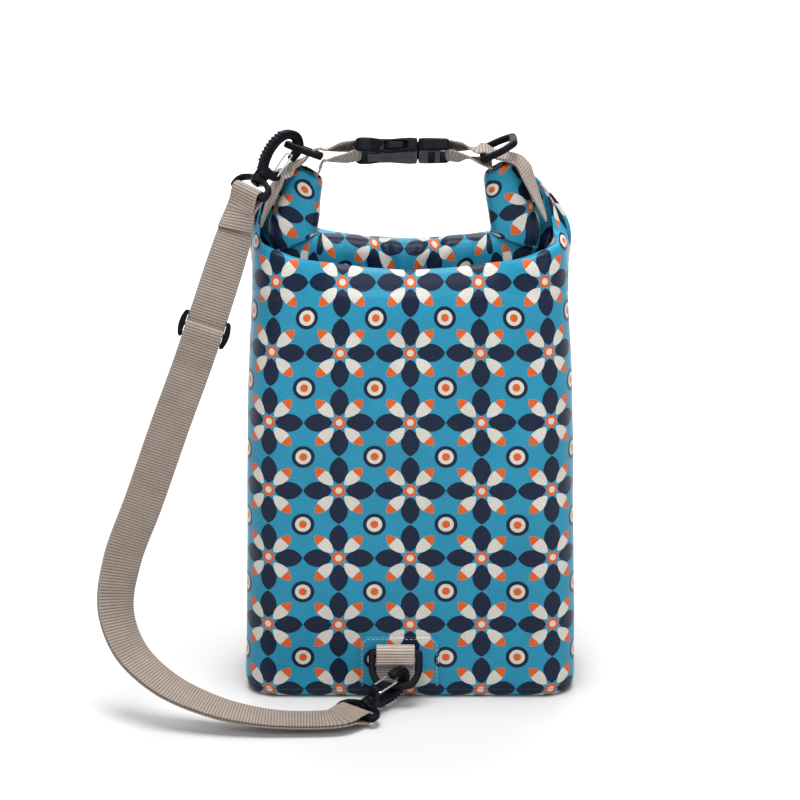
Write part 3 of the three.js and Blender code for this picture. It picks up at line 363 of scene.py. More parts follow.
def webbing_material(name, low, high):
    n = Nodes(name)
    u, v = n.uv()
    rib = n.abs(n.sin(n.mul(v, math.pi / 1.9)))
    row = n.math("FLOOR", n.div(v, 1.9))
    ends = n.abs(n.sin(n.add(n.mul(u, math.pi / 1.5), n.mul(row, math.pi / 2))))
    fibre = n.noise(n.join(n.mul(u, 3.0), n.mul(v, 1.0)), 1.7, 3.0, 0.6)
    edge = n.ramp(n.abs(u), 11.1, 11.9)
    height = n.add(n.add(n.mul(rib, 0.7), n.mul(ends, 0.3)), n.mul(fibre, 0.25))
    # painted shade: the colour goes toward the low (dark) colour where the ribs and crossing ends dip, following the
    # bump's own height; the fibre noise adds random tone
    rib_valley_shade = n.ramp(n.add(n.mul(rib, 0.56), n.add(n.mul(ends, 0.30), n.mul(fibre, 0.34))), 0.2, 1.0)
    tone = n.mix(rib_valley_shade, srgb(*low), srgb(*high))
    worn = n.noise(n.join(u, v), 0.09, 2.0)
    tone = n.scale_colour(tone, n.ramp(worn, 0.3, 0.7, (0.94, 1.07), "LINEAR"))
    tone = n.mix(n.mul(edge, 0.25), tone, srgb(144, 132, 122))
    n.set(Base_Color=tone, Roughness=n.ramp(fibre, 0.2, 0.8, (0.78, 0.95), "LINEAR"))
    n.bsdf.inputs["Sheen Weight"].default_value = 0.12
    n.bsdf.inputs["Sheen Roughness"].default_value = 0.5
    n.bsdf.inputs["Specular IOR Level"].default_value = 0.25
    n.put(n.bsdf.inputs["Normal"], n.bump(height, 0.8, 0.00045))
    return n.mat


def plastic_material():
    n = Nodes("moulded_plastic")
    p = n.place()
    fine, wide = n.noise(p, 2600.0, 2.0), n.noise(p, 90.0, 3.0)
    tone = n.mix(n.ramp(wide, 0.35, 0.7), srgb(8, 10, 15), srgb(17, 19, 25))
    n.set(Base_Color=tone, Roughness=n.ramp(wide, 0.3, 0.7, (0.36, 0.48), "LINEAR"))
    n.bsdf.inputs["Specular IOR Level"].default_value = 0.07
    n.put(n.bsdf.inputs["Normal"], n.bump(fine, 0.18, 0.0001))
    return n.mat


def steel_material():
    n = Nodes("wire_steel")
    p = n.place()
    fine = n.noise(p, 1800.0, 3.0)
    n.set(Base_Color=n.mix(fine, srgb(176, 178, 182), srgb(226, 227, 230)), Roughness=n.ramp(fine, 0.3, 0.7, (0.2, 0.34), "LINEAR"))
    n.bsdf.inputs["Metallic"].default_value = 1.0
    n.put(n.bsdf.inputs["Normal"], n.bump(fine, 0.1, 0.00005))
    return n.mat


def thread_material(name, low, high):
    n = Nodes(name)
    p = n.place()
    fine = n.noise(p, 2200.0, 2.0)
    n.set(Base_Color=n.mix(fine, srgb(*low), srgb(*high)), Roughness=n.ramp(fine, 0.2, 0.8, (0.6, 0.8), "LINEAR"))
    n.put(n.bsdf.inputs["Normal"], n.bump(fine, 0.3, 0.0001))
    return n.mat


CANVAS, BACKING = canvas_material(), backing_material()
# first colour: painted shade in the rib valleys; second colour: the tops of the ribs
WEBBING = webbing_material("webbing", (78, 68, 61), (148, 135, 125))
TAB_WEBBING = webbing_material("tab_webbing", (96, 86, 78), (184, 172, 162))
PLASTIC, STEEL = plastic_material(), steel_material()
THREAD = thread_material("pale_thread", (168, 150, 144), (196, 178, 172))
TAN_THREAD = thread_material("tan_thread", (122, 110, 100), (150, 138, 128))

# ------------------------------------------------------------------ bag shell
WALL, CLEAR = 1.2, 0.3
# height, half width, half depth, corner radius
BODY = [(5.6, 107.4, 52.0, 22), (14, 108.4, 53.0, 23), (70, 107.4, 54.5, 25), (140, 106.4, 55.0, 27),
        (210, 105.2, 54.0, 28), (250, 103.2, 52.5, 28), (270, 101.8, 51.0, 28)]
ROLL = dict(x=-4, y=-16, z=288, straight=52.4, bend_r=20, bend=math.radians(105), rise_left=34, rise_right=37, sag=3, pitch=3.6, turns=1.75, gap=0.5)
# share of the half spine, half height, half thickness
ROLL_SECTION = [(0.0, 16.5, 10), (0.40, 17, 10), (0.52, 17.5, 9.6), (0.605, 17.5, 7.0), (0.635, 18.4, 11.6), (0.74, 16.9, 10.6), (1.0, 12.6, 9.5)]
SOLID_T = 10.2          # half thickness that the layers share out
LEAN = 0.8              # how far the tubes lean in off the spine
# height of the front and back crests: share of the way to the side, z
CREST = [(0, 286.6), (0.22, 288.6), (0.39, 291.8), (0.48, 294.4), (0.57, 297.2), (0.64, 299), (0.72, 299.6), (1, 298)]
GABLE = dict(apex=-3.0, inner=0.26, outer=0.06)
LIP = dict(q=0.628, wide=0.085, over=4.0)      # where the bent-up tube hangs over the level roll
# crest of the gusset: x, y, z, share of the roll's sideways place
FOLD = [(102.6, -1, 298, 0), (99.2, -1, 314, 0.3), (90.8, -1, 328, 0.7), (78.6, -4, 341.5, 1)]
FIN_HALF, LEFT_DROP = 1.8, ROLL["rise_left"] - ROLL["rise_right"]
FRONT_LAYER = 2 * WALL + ROLL["gap"]
ROUND_FROM = 0.965
BEND_ARC = ROLL["bend_r"] * ROLL["bend"]
QUARTER = PRINT_PITCH * PRINT_ROUND / 4


def section_point(q, back, a, b, r):
    quarter = (a - r) + math.pi / 2 * r + (b - r)
    p = abs(q) * quarter
    if p <= a - r:
        x, y = p, -b
    elif p <= a - r + math.pi / 2 * r:
        f = (p - (a - r)) / r
        x, y = a - r + r * math.sin(f), -(b - r) - r * math.cos(f)
    else:
        x, y = a, -(b - r) + (p - (a - r) - math.pi / 2 * r)
    return (-x if q < 0 else x), (-y if back else y)


def spine(q, extra=0.0):
    rise = ROLL["rise_left"] if q < 0 else ROLL["rise_right"]
    s, sign = abs(q) * (ROLL["straight"] + BEND_ARC + rise) + extra, (-1 if q < 0 else 1)
    end, r = ROLL["bend"], ROLL["bend_r"]
    if s <= ROLL["straight"]:
        f, x, z = 0.0, s, 0.0
    elif s <= ROLL["straight"] + BEND_ARC:
        f = (s - ROLL["straight"]) / r
        x, z = ROLL["straight"] + r * math.sin(f), r * (1 - math.cos(f))
    else:
        f, u = end, s - ROLL["straight"] - BEND_ARC
        x, z = ROLL["straight"] + r * math.sin(end) + u * math.cos(end), r * (1 - math.cos(end)) + u * math.sin(end)
    z -= ROLL["sag"] * (1 - smooth(0, ROLL["straight"], s))
    h, t = table(ROLL_SECTION, abs(q))
    nx, nz, lean = -sign * math.sin(f), math.cos(f), LEAN * smooth(0.6, 0.8, abs(q))
    return dict(x=ROLL["x"] + sign * x + nx * lean, z=ROLL["z"] + z + nz * lean, nx=nx, nz=nz, h=h, t=t)


def on_roll(f, y, n):
    return vec(f["x"] + f["nx"] * n, ROLL["y"] + y, f["z"] + f["nz"] * n)


def fold_turn(aq):
    """How far round the side fold a column is, as cosine and sine; 1, 0 before the fold."""
    t = max(0.0, (aq - ROUND_FROM) / (1 - ROUND_FROM)) * math.pi / 2
    return math.cos(t), math.sin(t)


def layer_of(q, back):
    c, _ = fold_turn(abs(q))
    return FRONT_LAYER * (0.5 - 0.5 * c if back else 0.5 + 0.5 * c)


def roll_point(q, layer, j):
    """Place on the rolled cloth: nine steps to a turn, from the back of the roll up and over."""
    f = spine(q, 1.6 * fold_turn(abs(q))[1])
    k = j % 9
    if k <= 1:
        y, end, n = 1.0, lerp(-0.3, 1.0, k), 0.0
    elif k <= 4:
        a = (k - 1) * math.pi / 3
        y, end, n = math.cos(a), 1.0, math.sin(a)
    elif k <= 5:
        y, end, n = -1.0, lerp(1.0, -1.0, k - 4), 0.0
    elif k <= 8:
        a = (k - 5) * math.pi / 3
        y, end, n = -math.cos(a), -1.0, -math.sin(a)
    else:
        y, end, n = 1.0, lerp(-1.0, -0.3, k - 8), 0.0
    d = layer + ROLL["pitch"] * j / 9
    r = f["t"] * (1 - d / SOLID_T)
    n, aq, sign = end * (f["h"] - f["t"]) + n * r, abs(q), (-1 if q < 0 else 1)
    rise = tip_rise(n) * smooth(0.78, 1, aq)
    if y < 0:
        past = (aq - LIP["q"]) / LIP["wide"]
        rise -= LIP["over"] * smooth(-0.12, 0.06, past) * (1 - smooth(0.06, 1, past)) * (1 - smooth(3, 5, d)) * min(1.0, -1.6 * y) * max(0.0, 1 - n / 19)
    return on_roll(f, y * r, n) + vec(sign * f["nz"], 0, -sign * f["nx"]) * rise


def tip_rise(n):
    """The tip of each tube is a slanted gable: how far a place towards its inner side lies along the tube."""
    past = n - GABLE["apex"]
    return -GABLE["inner"] * past if past > 0 else -GABLE["outer"] * past * past


def top_controls(q, back):
    aq, sign = abs(q), (-1 if q < 0 else 1)
    w, g, f = smooth(0.70, 1, aq), smooth(0.36, 0.62, aq), spine(q)
    crest_z = table(CREST, aq)[0]
    _, half_w, half_d, corner = BODY[-1]
    bx, by = section_point(q, back, half_w, half_d, corner)
    c, s = fold_turn(aq)
    apart, out = (FIN_HALF if back else -FIN_HALF) * c, 1.5 * s
    fold = [vec(sign * (x + out) + ROLL["x"] * sh, y + apart, z + out * 0.6 + (LEFT_DROP * sh if q < 0 else 0)) for x, y, z, sh in FOLD]
    attach = roll_point(q, layer_of(q, back), 0)
    in_end = f["h"] - f["t"]
    mix = lambda a, b, t: np.asarray(a, float) * (1 - t) + np.asarray(b, float) * t
    if not back:
        crest = vec(bx * 0.985, by * 0.9, crest_z)
        fin = on_roll(f, f["t"] + 3.5, -f["h"] - 5)
        mid = vec(lerp(crest[0], fin[0], 0.5), lerp(crest[1], fin[1], 0.6), lerp(crest[2], fin[2], 0.3) - 2)
        ctl = [crest, mix(on_roll(f, -f["t"] - 2, -f["h"] - 1), mid, g), mix(on_roll(f, -1, -f["h"] - 2.5), fin, g),
               mix(on_roll(f, 0.707 * (f["t"] + 0.6), -in_end - 0.707 * (f["t"] + 0.6)), on_roll(f, f["t"] - 1.2, -in_end - 1), g)]
    else:
        crest = vec(bx * 0.985, by * 0.88, crest_z)
        fin = on_roll(f, f["t"] + 8.5, -f["h"] - 5)
        mid = vec(lerp(crest[0], fin[0], 0.5), lerp(crest[1], fin[1], 0.6), lerp(crest[2], fin[2], 0.35))
        ctl = [crest, mix(vec(f["x"] * 0.2 + crest[0] * 0.8, 20, 286), mid, g), mix(on_roll(f, f["t"] + 7, -6), fin, g),
               mix(on_roll(f, f["t"] + 1.5, -5.5), on_roll(f, f["t"] + 2.2, -in_end - 1), g)]
    return [mix(p, fp, w) for p, fp in zip(ctl, fold)] + [attach]


# columns of cloth from the middle to the side fold: up to this share, in this many steps
COLUMN_RUNS = [(0.56, 24), (0.68, 17), (ROUND_FROM, 14), (1.0, 5)]


def column_list():
    qs = [0.0]
    for end, steps in COLUMN_RUNS:
        first = qs[-1]
        qs += [lerp(first, end, k / steps) for k in range(1, steps + 1)]
    n = len(qs) - 1
    cols = [(qs[i], False) for i in range(n)] + [(qs[i], True) for i in range(n, 0, -1)]
    cols += [(-qs[i], True) for i in range(n)] + [(-qs[i], False) for i in range(n, 0, -1)]
    return cols


BODY_STEPS, TOP_STEPS, ROLL_STEP = 66, 44, 0.25
ROLL_ROWS = round(ROLL["turns"] * 9)


def shell_column(q, back):
    pts = []
    for k in range(BODY_STEPS):
        z, a, b, r = catmull(BODY, k / BODY_STEPS * (len(BODY) - 1))
        pts.append(vec(*section_point(q, back, a, b, r), z))
    last, before = vec(*section_point(q, back, *BODY[-1][1:]), BODY[-1][0]), vec(*section_point(q, back, *BODY[-2][1:]), BODY[-2][0])
    layer = layer_of(q, back)
    ctl = [before, last, *top_controls(q, back), roll_point(q, layer, 0.6)]
    for k in range(TOP_STEPS):
        pts.append(catmull(ctl, 1 + 5 * k / TOP_STEPS))
    for k in range(int(ROLL_ROWS / ROLL_STEP) + 1):
        pts.append(roll_point(q, layer, k * ROLL_STEP))
    return pts


def grid_normals(P):
    du = np.roll(P, -1, 0) - np.roll(P, 1, 0)
    dv = np.empty_like(P)
    dv[:, 1:-1] = P[:, 2:] - P[:, :-2]
    dv[:, 0], dv[:, -1] = P[:, 1] - P[:, 0], P[:, -1] - P[:, -2]
    n = np.cross(du, dv)
    return n / np.maximum(1e-9, np.linalg.norm(n, axis=2, keepdims=True))


# pinched folds that slant across the front of the roll: x at its top and at its foot (mm), depth, half width
ROLL_FOLDS = [(19, 3, 3.0, 2.9), (10, -2, 1.9, 2.4), (-18, -8, 2.4, 3.4), (-46, -38, 1.0, 3.5), (45, 36, 1.0, 3.2)]
ROLL_DIP = dict(x=0, half=15, deep=1.6)      # the roll is pulled in between the two main folds


def roll_fold(x, z):
    """Depth of the pinched folds at a place on the front of the level roll."""
    up = min(1.0, max(0.0, (z - 268) / 36))
    d = -ROLL_DIP["deep"] * math.exp(-((x - ROLL_DIP["x"]) / ROLL_DIP["half"]) ** 2)
    for top, foot, deep, wide in ROLL_FOLDS:
        off = (x - lerp(foot, top, up)) / wide
        d += -deep * math.exp(-off * off) + 0.6 * deep * math.exp(-((abs(off) - 2.2) / 1.2) ** 2)
    return d


def round_ridge(P, cols):
    """The front and back ridges turn over softly: each column is eased round its crest, which keeps its height."""
    out, lo, hi = P.copy(), BODY_STEPS - 12, BODY_STEPS + 18
    for i, (q, back) in enumerate(cols):
        w = 1 - smooth(0.34, 0.54, abs(q))
        if w <= 0:
            continue
        line = P[i].copy()
        for _ in range(RIDGE_EASE):
            line[lo:hi] += 0.5 * (0.5 * (line[lo - 1:hi - 1] + line[lo + 1:hi + 1]) - line[lo:hi])
        lost = P[i, lo:hi, 2].max() - line[lo:hi, 2].max()
        crest = lo + int(np.argmax(line[lo:hi, 2]))
        for j in range(lo, hi):
            line[j, 2] += lost * smooth(lo, crest, j) * (1 - smooth(crest, hi, j))
        if not back:
            top = line[crest, 2]
            for j in range(BODY_STEPS - 16, crest + 12):
                t = min(1.0, max(0.0, (line[j, 2] - RIDGE["from"]) / (top - RIDGE["from"])))
                line[j, 1] += RIDGE["back"] * (t * t if j <= crest else 1 - smooth(crest, crest + 11, j))
        out[i] = P[i] * (1 - w) + line * w
    return out


RIDGE_EASE, RIDGE = 26, {"from": 246.0, "back": 5.0}      # how softly it turns, and how far it leans back (mm)


def crumple(P, cols):
    """Soft dents and creases of the canvas, moved along the wall's own direction."""
    N = grid_normals(P)
    out = P.copy()
    first = BODY_STEPS + TOP_STEPS
    for i, (q, back) in enumerate(cols):
        for j in range(P.shape[1]):
            x, y, z = P[i, j]
            if j >= first:
                turn = (j - first) * ROLL_STEP
                deep = layer_of(q, back) + ROLL["pitch"] * turn / 9
                keep = max(0.0, 1 - deep / 9.5) * smooth(0.6, 2.2, turn) * (1 - math.exp(-((abs(q) - 0.625) / 0.06) ** 4))
                if keep > 0:
                    soft = 0.9 * noise.noise(Vector((x / 26 + 4.2, y / 26, z / 26))) + 0.35 * noise.noise(Vector((x / 10, y / 10 + 2.2, z / 10)))
                    level = 1 - smooth(0.36, 0.46, abs(q))
                    # the two walls lie face to face, so both move the same way
                    out[i, j] += N[i, j] * (1 if back else -1) * keep * (soft + 0.3 + level * roll_fold(x, z) * smooth(2.0, 3.6, turn))
            elif j < BODY_STEPS:
                keep = smooth(8, 40, z)
                if not back:
                    keep *= 1 - (1 - smooth(28, 44, abs(x + 7))) * (1 - smooth(46, 66, z))
                d = 1.5 * noise.noise(Vector((x / 62, y / 62, z / 88 + 3.1))) + 0.55 * noise.noise(Vector((x / 24, y / 24 + 7.7, z / 40)))
                out[i, j] += N[i, j] * d * keep
    return out


def steady_normals(P, cols):
    """Wall directions; in the gussets, where two walls lie face to face, each points away from the other."""
    N = grid_normals(P)
    at = {(round(q, 6), back): i for i, (q, back) in enumerate(cols)}
    for i, (q, back) in enumerate(cols):
        if 0.69 < abs(q) < 0.96:
            facing = P[at[(round(q, 6), not back)]]
            for j in range(BODY_STEPS + 4, BODY_STEPS + TOP_STEPS):
                apart = P[i, j] - facing[j]
                if np.linalg.norm(apart) < 27 and np.dot(unit(apart), N[i, j]) < 0.2:
                    N[i, j] = unit(apart)
    return N


def build_shell():
    cols = column_list()
    P = np.array([shell_column(q, back) for q, back in cols])
    P = crumple(round_ridge(P, cols), cols)
    nu, nv = P.shape[:2]
    inner = P - WALL * steady_normals(P, cols)
    quarter = QUARTER
    step = np.linalg.norm(np.diff(P, axis=1), axis=2)
    V = np.concatenate([np.zeros((nu, 1)), np.cumsum(step, axis=1)], axis=1)
    U = np.array([(2 * quarter - abs(q) * quarter) * (-1 if q < 0 else 1) if back else q * quarter for q, back in cols])
    verts = np.concatenate([P.reshape(-1, 3), inner.reshape(-1, 3)])
    o = lambda i, j: (i % nu) * nv + j
    faces, uv, index = [], [], []
    half = nu * nv
    for i in range(nu):
        k = (i + 1) % nu
        ua, ub = U[i], U[k]
        if cols[i][1] and cols[i][0] > 0 and cols[k][0] == 0.0:
            ub = 2 * quarter
        if cols[i][0] == 0.0 and cols[i][1]:
            ua = -2 * quarter
        shut = BODY_STEPS + (6 if abs(cols[i][0]) > 0.66 else TOP_STEPS)      # from here on the cloth lies face to face
        for j in range(nv - 1):
            a, b, c, d = o(i, j), o(k, j), o(k, j + 1), o(i, j + 1)
            w = [(ua, V[i, j]), (ub, V[k, j]), (ub, V[k, j + 1]), (ua, V[i, j + 1])]
            faces.append((a, b, c, d)); uv += w; index.append(0)
            faces.append((half + a, half + d, half + c, half + b)); uv += [w[0], w[3], w[2], w[1]]; index.append(1 if j < shut else 0)
        for j, flip in ((0, False), (nv - 1, True)):
            a, b = o(i, j), o(k, j)
            f = (a, half + a, half + b, b)
            w = [(ua, V[i, j]), (ua, V[i, j] + WALL), (ub, V[k, j] + WALL), (ub, V[k, j])]
            faces.append(f[::-1] if flip else f); uv += w[::-1] if flip else w; index.append(1)
    ob = add_piece("printed_shell", verts, faces, CANVAS, uv=uv, replaces=("bag_shell",), extra=(BACKING,), index=index)
    return ob, P, V


SHELL, SHELL_P, SHELL_V = build_shell()

# ------------------------------------------------------------------ base panel and front patch
# rings of inset and height, outside then inside
BASE_OUT = [(52, 0), (24, 0), (5, 0), (3.0, 0.22), (1.6, 1.0), (0.8, 1.9), (0.4, 2.8), (0.1, 4.0), (0, 5.45)]
BASE_IN = [(1.2, 5.45), (1.4, 4.0), (1.6, 3.2), (2.6, 2.0), (5.2, 1.2), (24, 1.2), (52, 1.2)]


def build_base():
    cols = column_list()
    n, verts, faces, uv, index = len(cols), [], [], [], []
    _, a, b, r = BODY[0]
    rings = BASE_OUT + BASE_IN
    quarter = QUARTER
    run = np.concatenate([[0], np.cumsum([math.hypot(rings[i + 1][0] - rings[i][0], rings[i + 1][1] - rings[i][1]) for i in range(len(rings) - 1)])])
    for inset, z in rings:
        for q, back in cols:
            inset_r = max(0.5, r - inset)
            x, y = section_point(q, back, a - inset, max(0.6, b - min(inset, b - 0.6)), min(inset_r, max(0.5, b - inset)))
            verts.append((x, y, z))
    outer = len(BASE_OUT) - 1
    for k in range(len(rings) - 1):
        for i in range(n):
            j = (i + 1) % n
            f = (k * n + i, k * n + j, (k + 1) * n + j, (k + 1) * n + i)
            faces.append(f)
            if k < outer:      # the rim's print runs on from the wall's
                for c in f:
                    x, y, z = verts[c]
                    turn = run[c // n]
                    if turn > 40:
                        q, back = cols[c % n]
                        u = (2 * quarter - abs(q) * quarter) * (-1 if q < 0 else 1) if back else q * quarter
                        if back and q == 0 and i + 1 < n and cols[i][0] > 0:
                            u = 2 * quarter
                        uv.append((u, turn - run[outer] - 0.15))
                    else:
                        uv.append((x, y))
            else:
                uv += [(verts[c][0], verts[c][1]) for c in f]
            index.append(0 if k < outer else 1)
    for k, flip in ((0, True), (len(rings) - 1, False)):
        f = [k * n + i for i in range(n)]
        f = f[::-1] if flip else f
        faces.append(tuple(f)); uv += [(verts[c][0], verts[c][1]) for c in f]; index.append(0 if flip else 1)
    return add_piece("base_cloth", verts, faces, CANVAS, uv=uv, replaces=("base_panel",), extra=(BACKING,), index=index)


PATCH = dict(x=-7, half=26, low=7, high=43, corner=4)


def front_y(z):
    return -table([(r[0], r[2]) for r in BODY], z)[0]


def patch_top(c):
    """Height of the patch's upper edge at a share of its half width: straight, with its corners cut off."""
    return PATCH["high"] - max(0.0, abs(c) - 0.85) / 0.15 * PATCH["corner"]


def patch_point(c, r, lift=0.0):
    z = lerp(PATCH["low"], patch_top(c), r)
    return vec(PATCH["x"] + c * PATCH["half"], front_y(z) - CLEAR - WALL - lift, z)


def build_patch():
    cs = sorted(set([round(-1 + k / 20, 4) for k in range(41)] + [-0.85, 0.85, -0.985, 0.985]))
    rs = [0, 0.012] + [k / 16 for k in range(1, 16)] + [0.988, 1]
    nu, nv, verts, faces, uv, index = len(cs), len(rs), [], [], [], []
    for side in (0, 1):
        for c in cs:
            for r in rs:
                edge = max(smooth(0.965, 1, abs(c)), smooth(0.97, 1, r), 1 - smooth(0, 0.03, r))
                p = patch_point(c, r)
                p[1] += 0.35 * edge if side == 0 else WALL
                verts.append(p)
    at = lambda s, i, j: s * nu * nv + i * nv + j
    map_uv = lambda c: (verts[c][0], verts[c][2] - 5.6 + 1.2)
    for i in range(nu - 1):
        for j in range(nv - 1):
            f = (at(0, i, j), at(0, i + 1, j), at(0, i + 1, j + 1), at(0, i, j + 1))
            g = tuple(x + nu * nv for x in f[::-1])
            for h, m in ((f, 0), (g, 1)):
                faces.append(h); uv += [map_uv(c) for c in h]; index.append(m)
    rim = [(i, 0) for i in range(nu)] + [(nu - 1, j) for j in range(1, nv)] + [(i, nv - 1) for i in range(nu - 2, -1, -1)] + [(0, j) for j in range(nv - 2, 0, -1)]
    for (i, j), (k, l) in zip(rim, rim[1:] + rim[:1]):
        f = (at(0, i, j), at(1, i, j), at(1, k, l), at(0, k, l))
        faces.append(f); uv += [map_uv(c) for c in f]; index.append(0)
    return add_piece("patch_cloth", verts, faces, CANVAS, uv=uv, replaces=("front_patch",), extra=(BACKING,), index=index)


BASE, PATCH_CLOTH = build_base(), build_patch()


# ------------------------------------------------------------------ stitches
def stitch_rows(name, runs, material, length=2.3, gap=0.9, half=0.33, body="bag"):
    """Rows of sewn thread: each run is points in mm and the direction that faces out of the cloth at each."""
    verts, faces = [], []
    for pts, outs in runs:
        pts, outs = np.asarray(pts, float), np.asarray(outs, float)
        s = np.concatenate([[0], np.cumsum(np.linalg.norm(np.diff(pts, axis=0), axis=1))])
        count = max(1, int((s[-1] + gap) / (length + gap)))
        pitch = s[-1] / count
        for k in range(count):
            mid, rings, sides = (k + 0.5) * pitch, 7, 8
            base = len(verts)
            for a in range(rings):
                t = a / (rings - 1)
                at = mid + (t - 0.5) * (pitch - gap)
                p = np.array([np.interp(at, s, pts[:, c]) for c in range(3)])
                o = unit([np.interp(at, s, outs[:, c]) for c in range(3)])
                ahead = np.array([np.interp(at + 0.3, s, pts[:, c]) - np.interp(at - 0.3, s, pts[:, c]) for c in range(3)])
                side = unit(np.cross(unit(ahead), o))
                swell = math.sqrt(max(0.02, 1 - (2 * t - 1) ** 4))
                lift = half * (1.0 * swell - 0.75)
                for b in range(sides):
                    g = 2 * math.pi * b / sides
                    verts.append(p + o * (lift + half * swell * 0.8 * math.sin(g)) + side * half * swell * math.cos(g))
            for a in range(rings - 1):
                for b in range(sides):
                    c = (b + 1) % sides
                    faces.append((base + a * sides + b, base + a * sides + c, base + (a + 1) * sides + c, base + (a + 1) * sides + b))
            faces.append(tuple(base + b for b in range(sides))[::-1])
            faces.append(tuple(base + (rings - 1) * sides + b for b in range(sides)))
    ob = add_piece(name, verts, faces, material, body=body)
    bm = bmesh.new(); bm.from_mesh(ob.data); bmesh.ops.recalc_face_normals(bm, faces=bm.faces); bm.to_mesh(ob.data); bm.free()
    return ob


def patch_stitches():
    inset = 0.94
    side = lambda c: [patch_point(c, r, 0.0) for r in np.linspace(0.02, 0.90, 20)]
    top = [patch_point(c, 0.955, 0.0) for c in np.linspace(-0.80, 0.80, 40)]
    corner = lambda s: [patch_point(s * lerp(0.94, 0.80, t), lerp(0.90, 0.955, t), 0.0) for t in np.linspace(0, 1, 5)]
    line = side(-inset) + corner(-1)[1:] + top[1:] + corner(1)[::-1][1:] + side(inset)[::-1][1:]
    return stitch_rows("patch_stitches", [(line, [(0, -1, 0)] * len(line))], THREAD, length=2.0, gap=1.1, half=0.19)


PATCH_STITCHES = patch_stitches()

# ------------------------------------------------------------------ webbing
WEB_W, WEB_T, WEB_AIR = 25.0, 1.4, 0.35


def band(name, stations, replaces, step=1.0, wave=None, material=None):
    """Flat webbing along stations (middle point, direction across), with a rounded selvedge."""
    pts = np.array([s[0] for s in stations], float)
    across = np.array([unit(s[1]) for s in stations])
    line, at = centripetal(pts, 12)
    k = np.minimum(len(pts) - 2, np.floor(at).astype(int))
    w = across[k] * (1 - (at - k))[:, None] + across[k + 1] * (at - k)[:, None]
    s = np.concatenate([[0], np.cumsum(np.linalg.norm(np.diff(line, axis=0), axis=1))])
    n = max(8, int(s[-1] / step))
    t = np.linspace(0, s[-1], n + 1)
    line = np.stack([np.interp(t, s, line[:, c]) for c in range(3)], 1)
    w = np.stack([np.interp(t, s, w[:, c]) for c in range(3)], 1)
    run = np.gradient(line, axis=0)
    run /= np.linalg.norm(run, axis=1, keepdims=True)
    w -= run * (w * run).sum(1)[:, None]
    w /= np.linalg.norm(w, axis=1, keepdims=True)
    face = np.cross(run, w)
    edge = [12.5, 12.42, 12.2, 11.85, 11.3]
    thick = [0.0, 0.45, 0.85, 1.0, 1.0]
    acr = edge + [9, 6, 3, 0, -3, -6, -9] + [-e for e in edge[::-1]]
    prof = [(a, table([(11.3, 1.0), (11.85, 1.0), (12.2, 0.85), (12.42, 0.45), (12.5, 0.0)], abs(a))[0] if abs(a) > 11.3 else 1.0) for a in acr]
    section = [(a, p) for a, p in prof] + [(a, -p) for a, p in prof[::-1][1:-1]]
    m, verts, faces, uv = len(section), [], [], []
    for i in range(n + 1):
        for a, p in section:
            off = wave(t[i], a, t[-1]) if wave else 0.0
            verts.append(line[i] + w[i] * a + face[i] * (p * WEB_T / 2 + off))
    for i in range(n):
        for b in range(m):
            c = (b + 1) % m
            faces.append((i * m + b, i * m + c, (i + 1) * m + c, (i + 1) * m + b))
            uv += [(section[b][0], t[i]), (section[c][0], t[i]), (section[c][0], t[i + 1]), (section[b][0], t[i + 1])]
    for i, flip in ((0, True), (n, False)):
        f = [i * m + b for b in range(m)]
        faces.append(tuple(f[::-1] if flip else f))
        uv += [(section[b][0], t[i]) for b in (range(m - 1, -1, -1) if flip else range(m))]
    ob = add_piece(name, verts, faces, material or WEBBING, uv=uv, replaces=replaces)
    bm = bmesh.new(); bm.from_mesh(ob.data); bmesh.ops.recalc_face_normals(bm, faces=bm.faces); bm.to_mesh(ob.data); bm.free()
    return ob, s[-1]


RING = dict(inner=26.4, bar=4.4, depth=21.5)
PATCH_FACE = front_y(35) - CLEAR - WALL
LOWER_RING = vec(-9.5, PATCH_FACE - CLEAR - WEB_T - 2 * WEB_AIR - RING["bar"] / 2, 33.4)
LOWER_OUT = unit((0, -0.5, -0.866))
LOWER_RING_M = frame_at(LOWER_RING, (1, 0, 0), LOWER_OUT, np.cross((1, 0, 0), LOWER_OUT))
TAB = dict(low=13, slack=1.6, lap=8)


def lower_tab():
    x, y, z = LOWER_RING
    r, st = RING["bar"] / 2 + 2 * WEB_AIR + WEB_T / 2, []
    back = y + r
    for h in (TAB["low"], 16, 20, 24, 27, 31, z + TAB["slack"] - 1):
        st.append((x, min(front_y(h) - CLEAR - WALL - CLEAR - WEB_T / 2, back + 0.2), h))
    for k in range(13):
        f = math.pi * k / 12
        st.append((x, y + r * math.cos(f), z + TAB["slack"] + r * math.sin(f)))
    st += [(x, y - r, z - 0.5), (x, y - r, z - 2), (x, y - r - 0.2, z + TAB["slack"] - TAB["lap"])]
    return band("tab_webbing", [(p, (1, 0, 0)) for p in st], ("lower_tab",), step=0.8, material=TAB_WEBBING)


# frames of the top rings and of the buckle
TOP_RING = dict(
    right=dict(p=vec(46.5, -17, 356.8), web_y=-17.0, bar=(0, 1, 0), dir=(0.9, 0, 0.436)),
    left=dict(p=vec(-57.8, -17, 355.8), web_y=-16.7, bar=(0, 0.98, -0.2), dir=(-0.94, 0, 0.34)),
)
RING_M = {}
for side, sign in (("left", -1), ("right", 1)):
    r = TOP_RING[side]
    b = unit(r["bar"])
    d = unit(np.asarray(r["dir"]) - b * np.dot(r["dir"], b))
    RING_M[side] = frame_at(r["p"], b * sign, d, np.cross(b * sign, d))
BUCKLE = dict(x=4.5, y=-16, z=358.8, tilt=math.radians(-30), socket=41.4, prong=23.6)
CT, ST = math.cos(BUCKLE["tilt"]), math.sin(BUCKLE["tilt"])
BUCKLE_M = frame_at((BUCKLE["x"], BUCKLE["y"], BUCKLE["z"]), (1, 0, 0), (0, CT, ST), (0, -ST, CT))
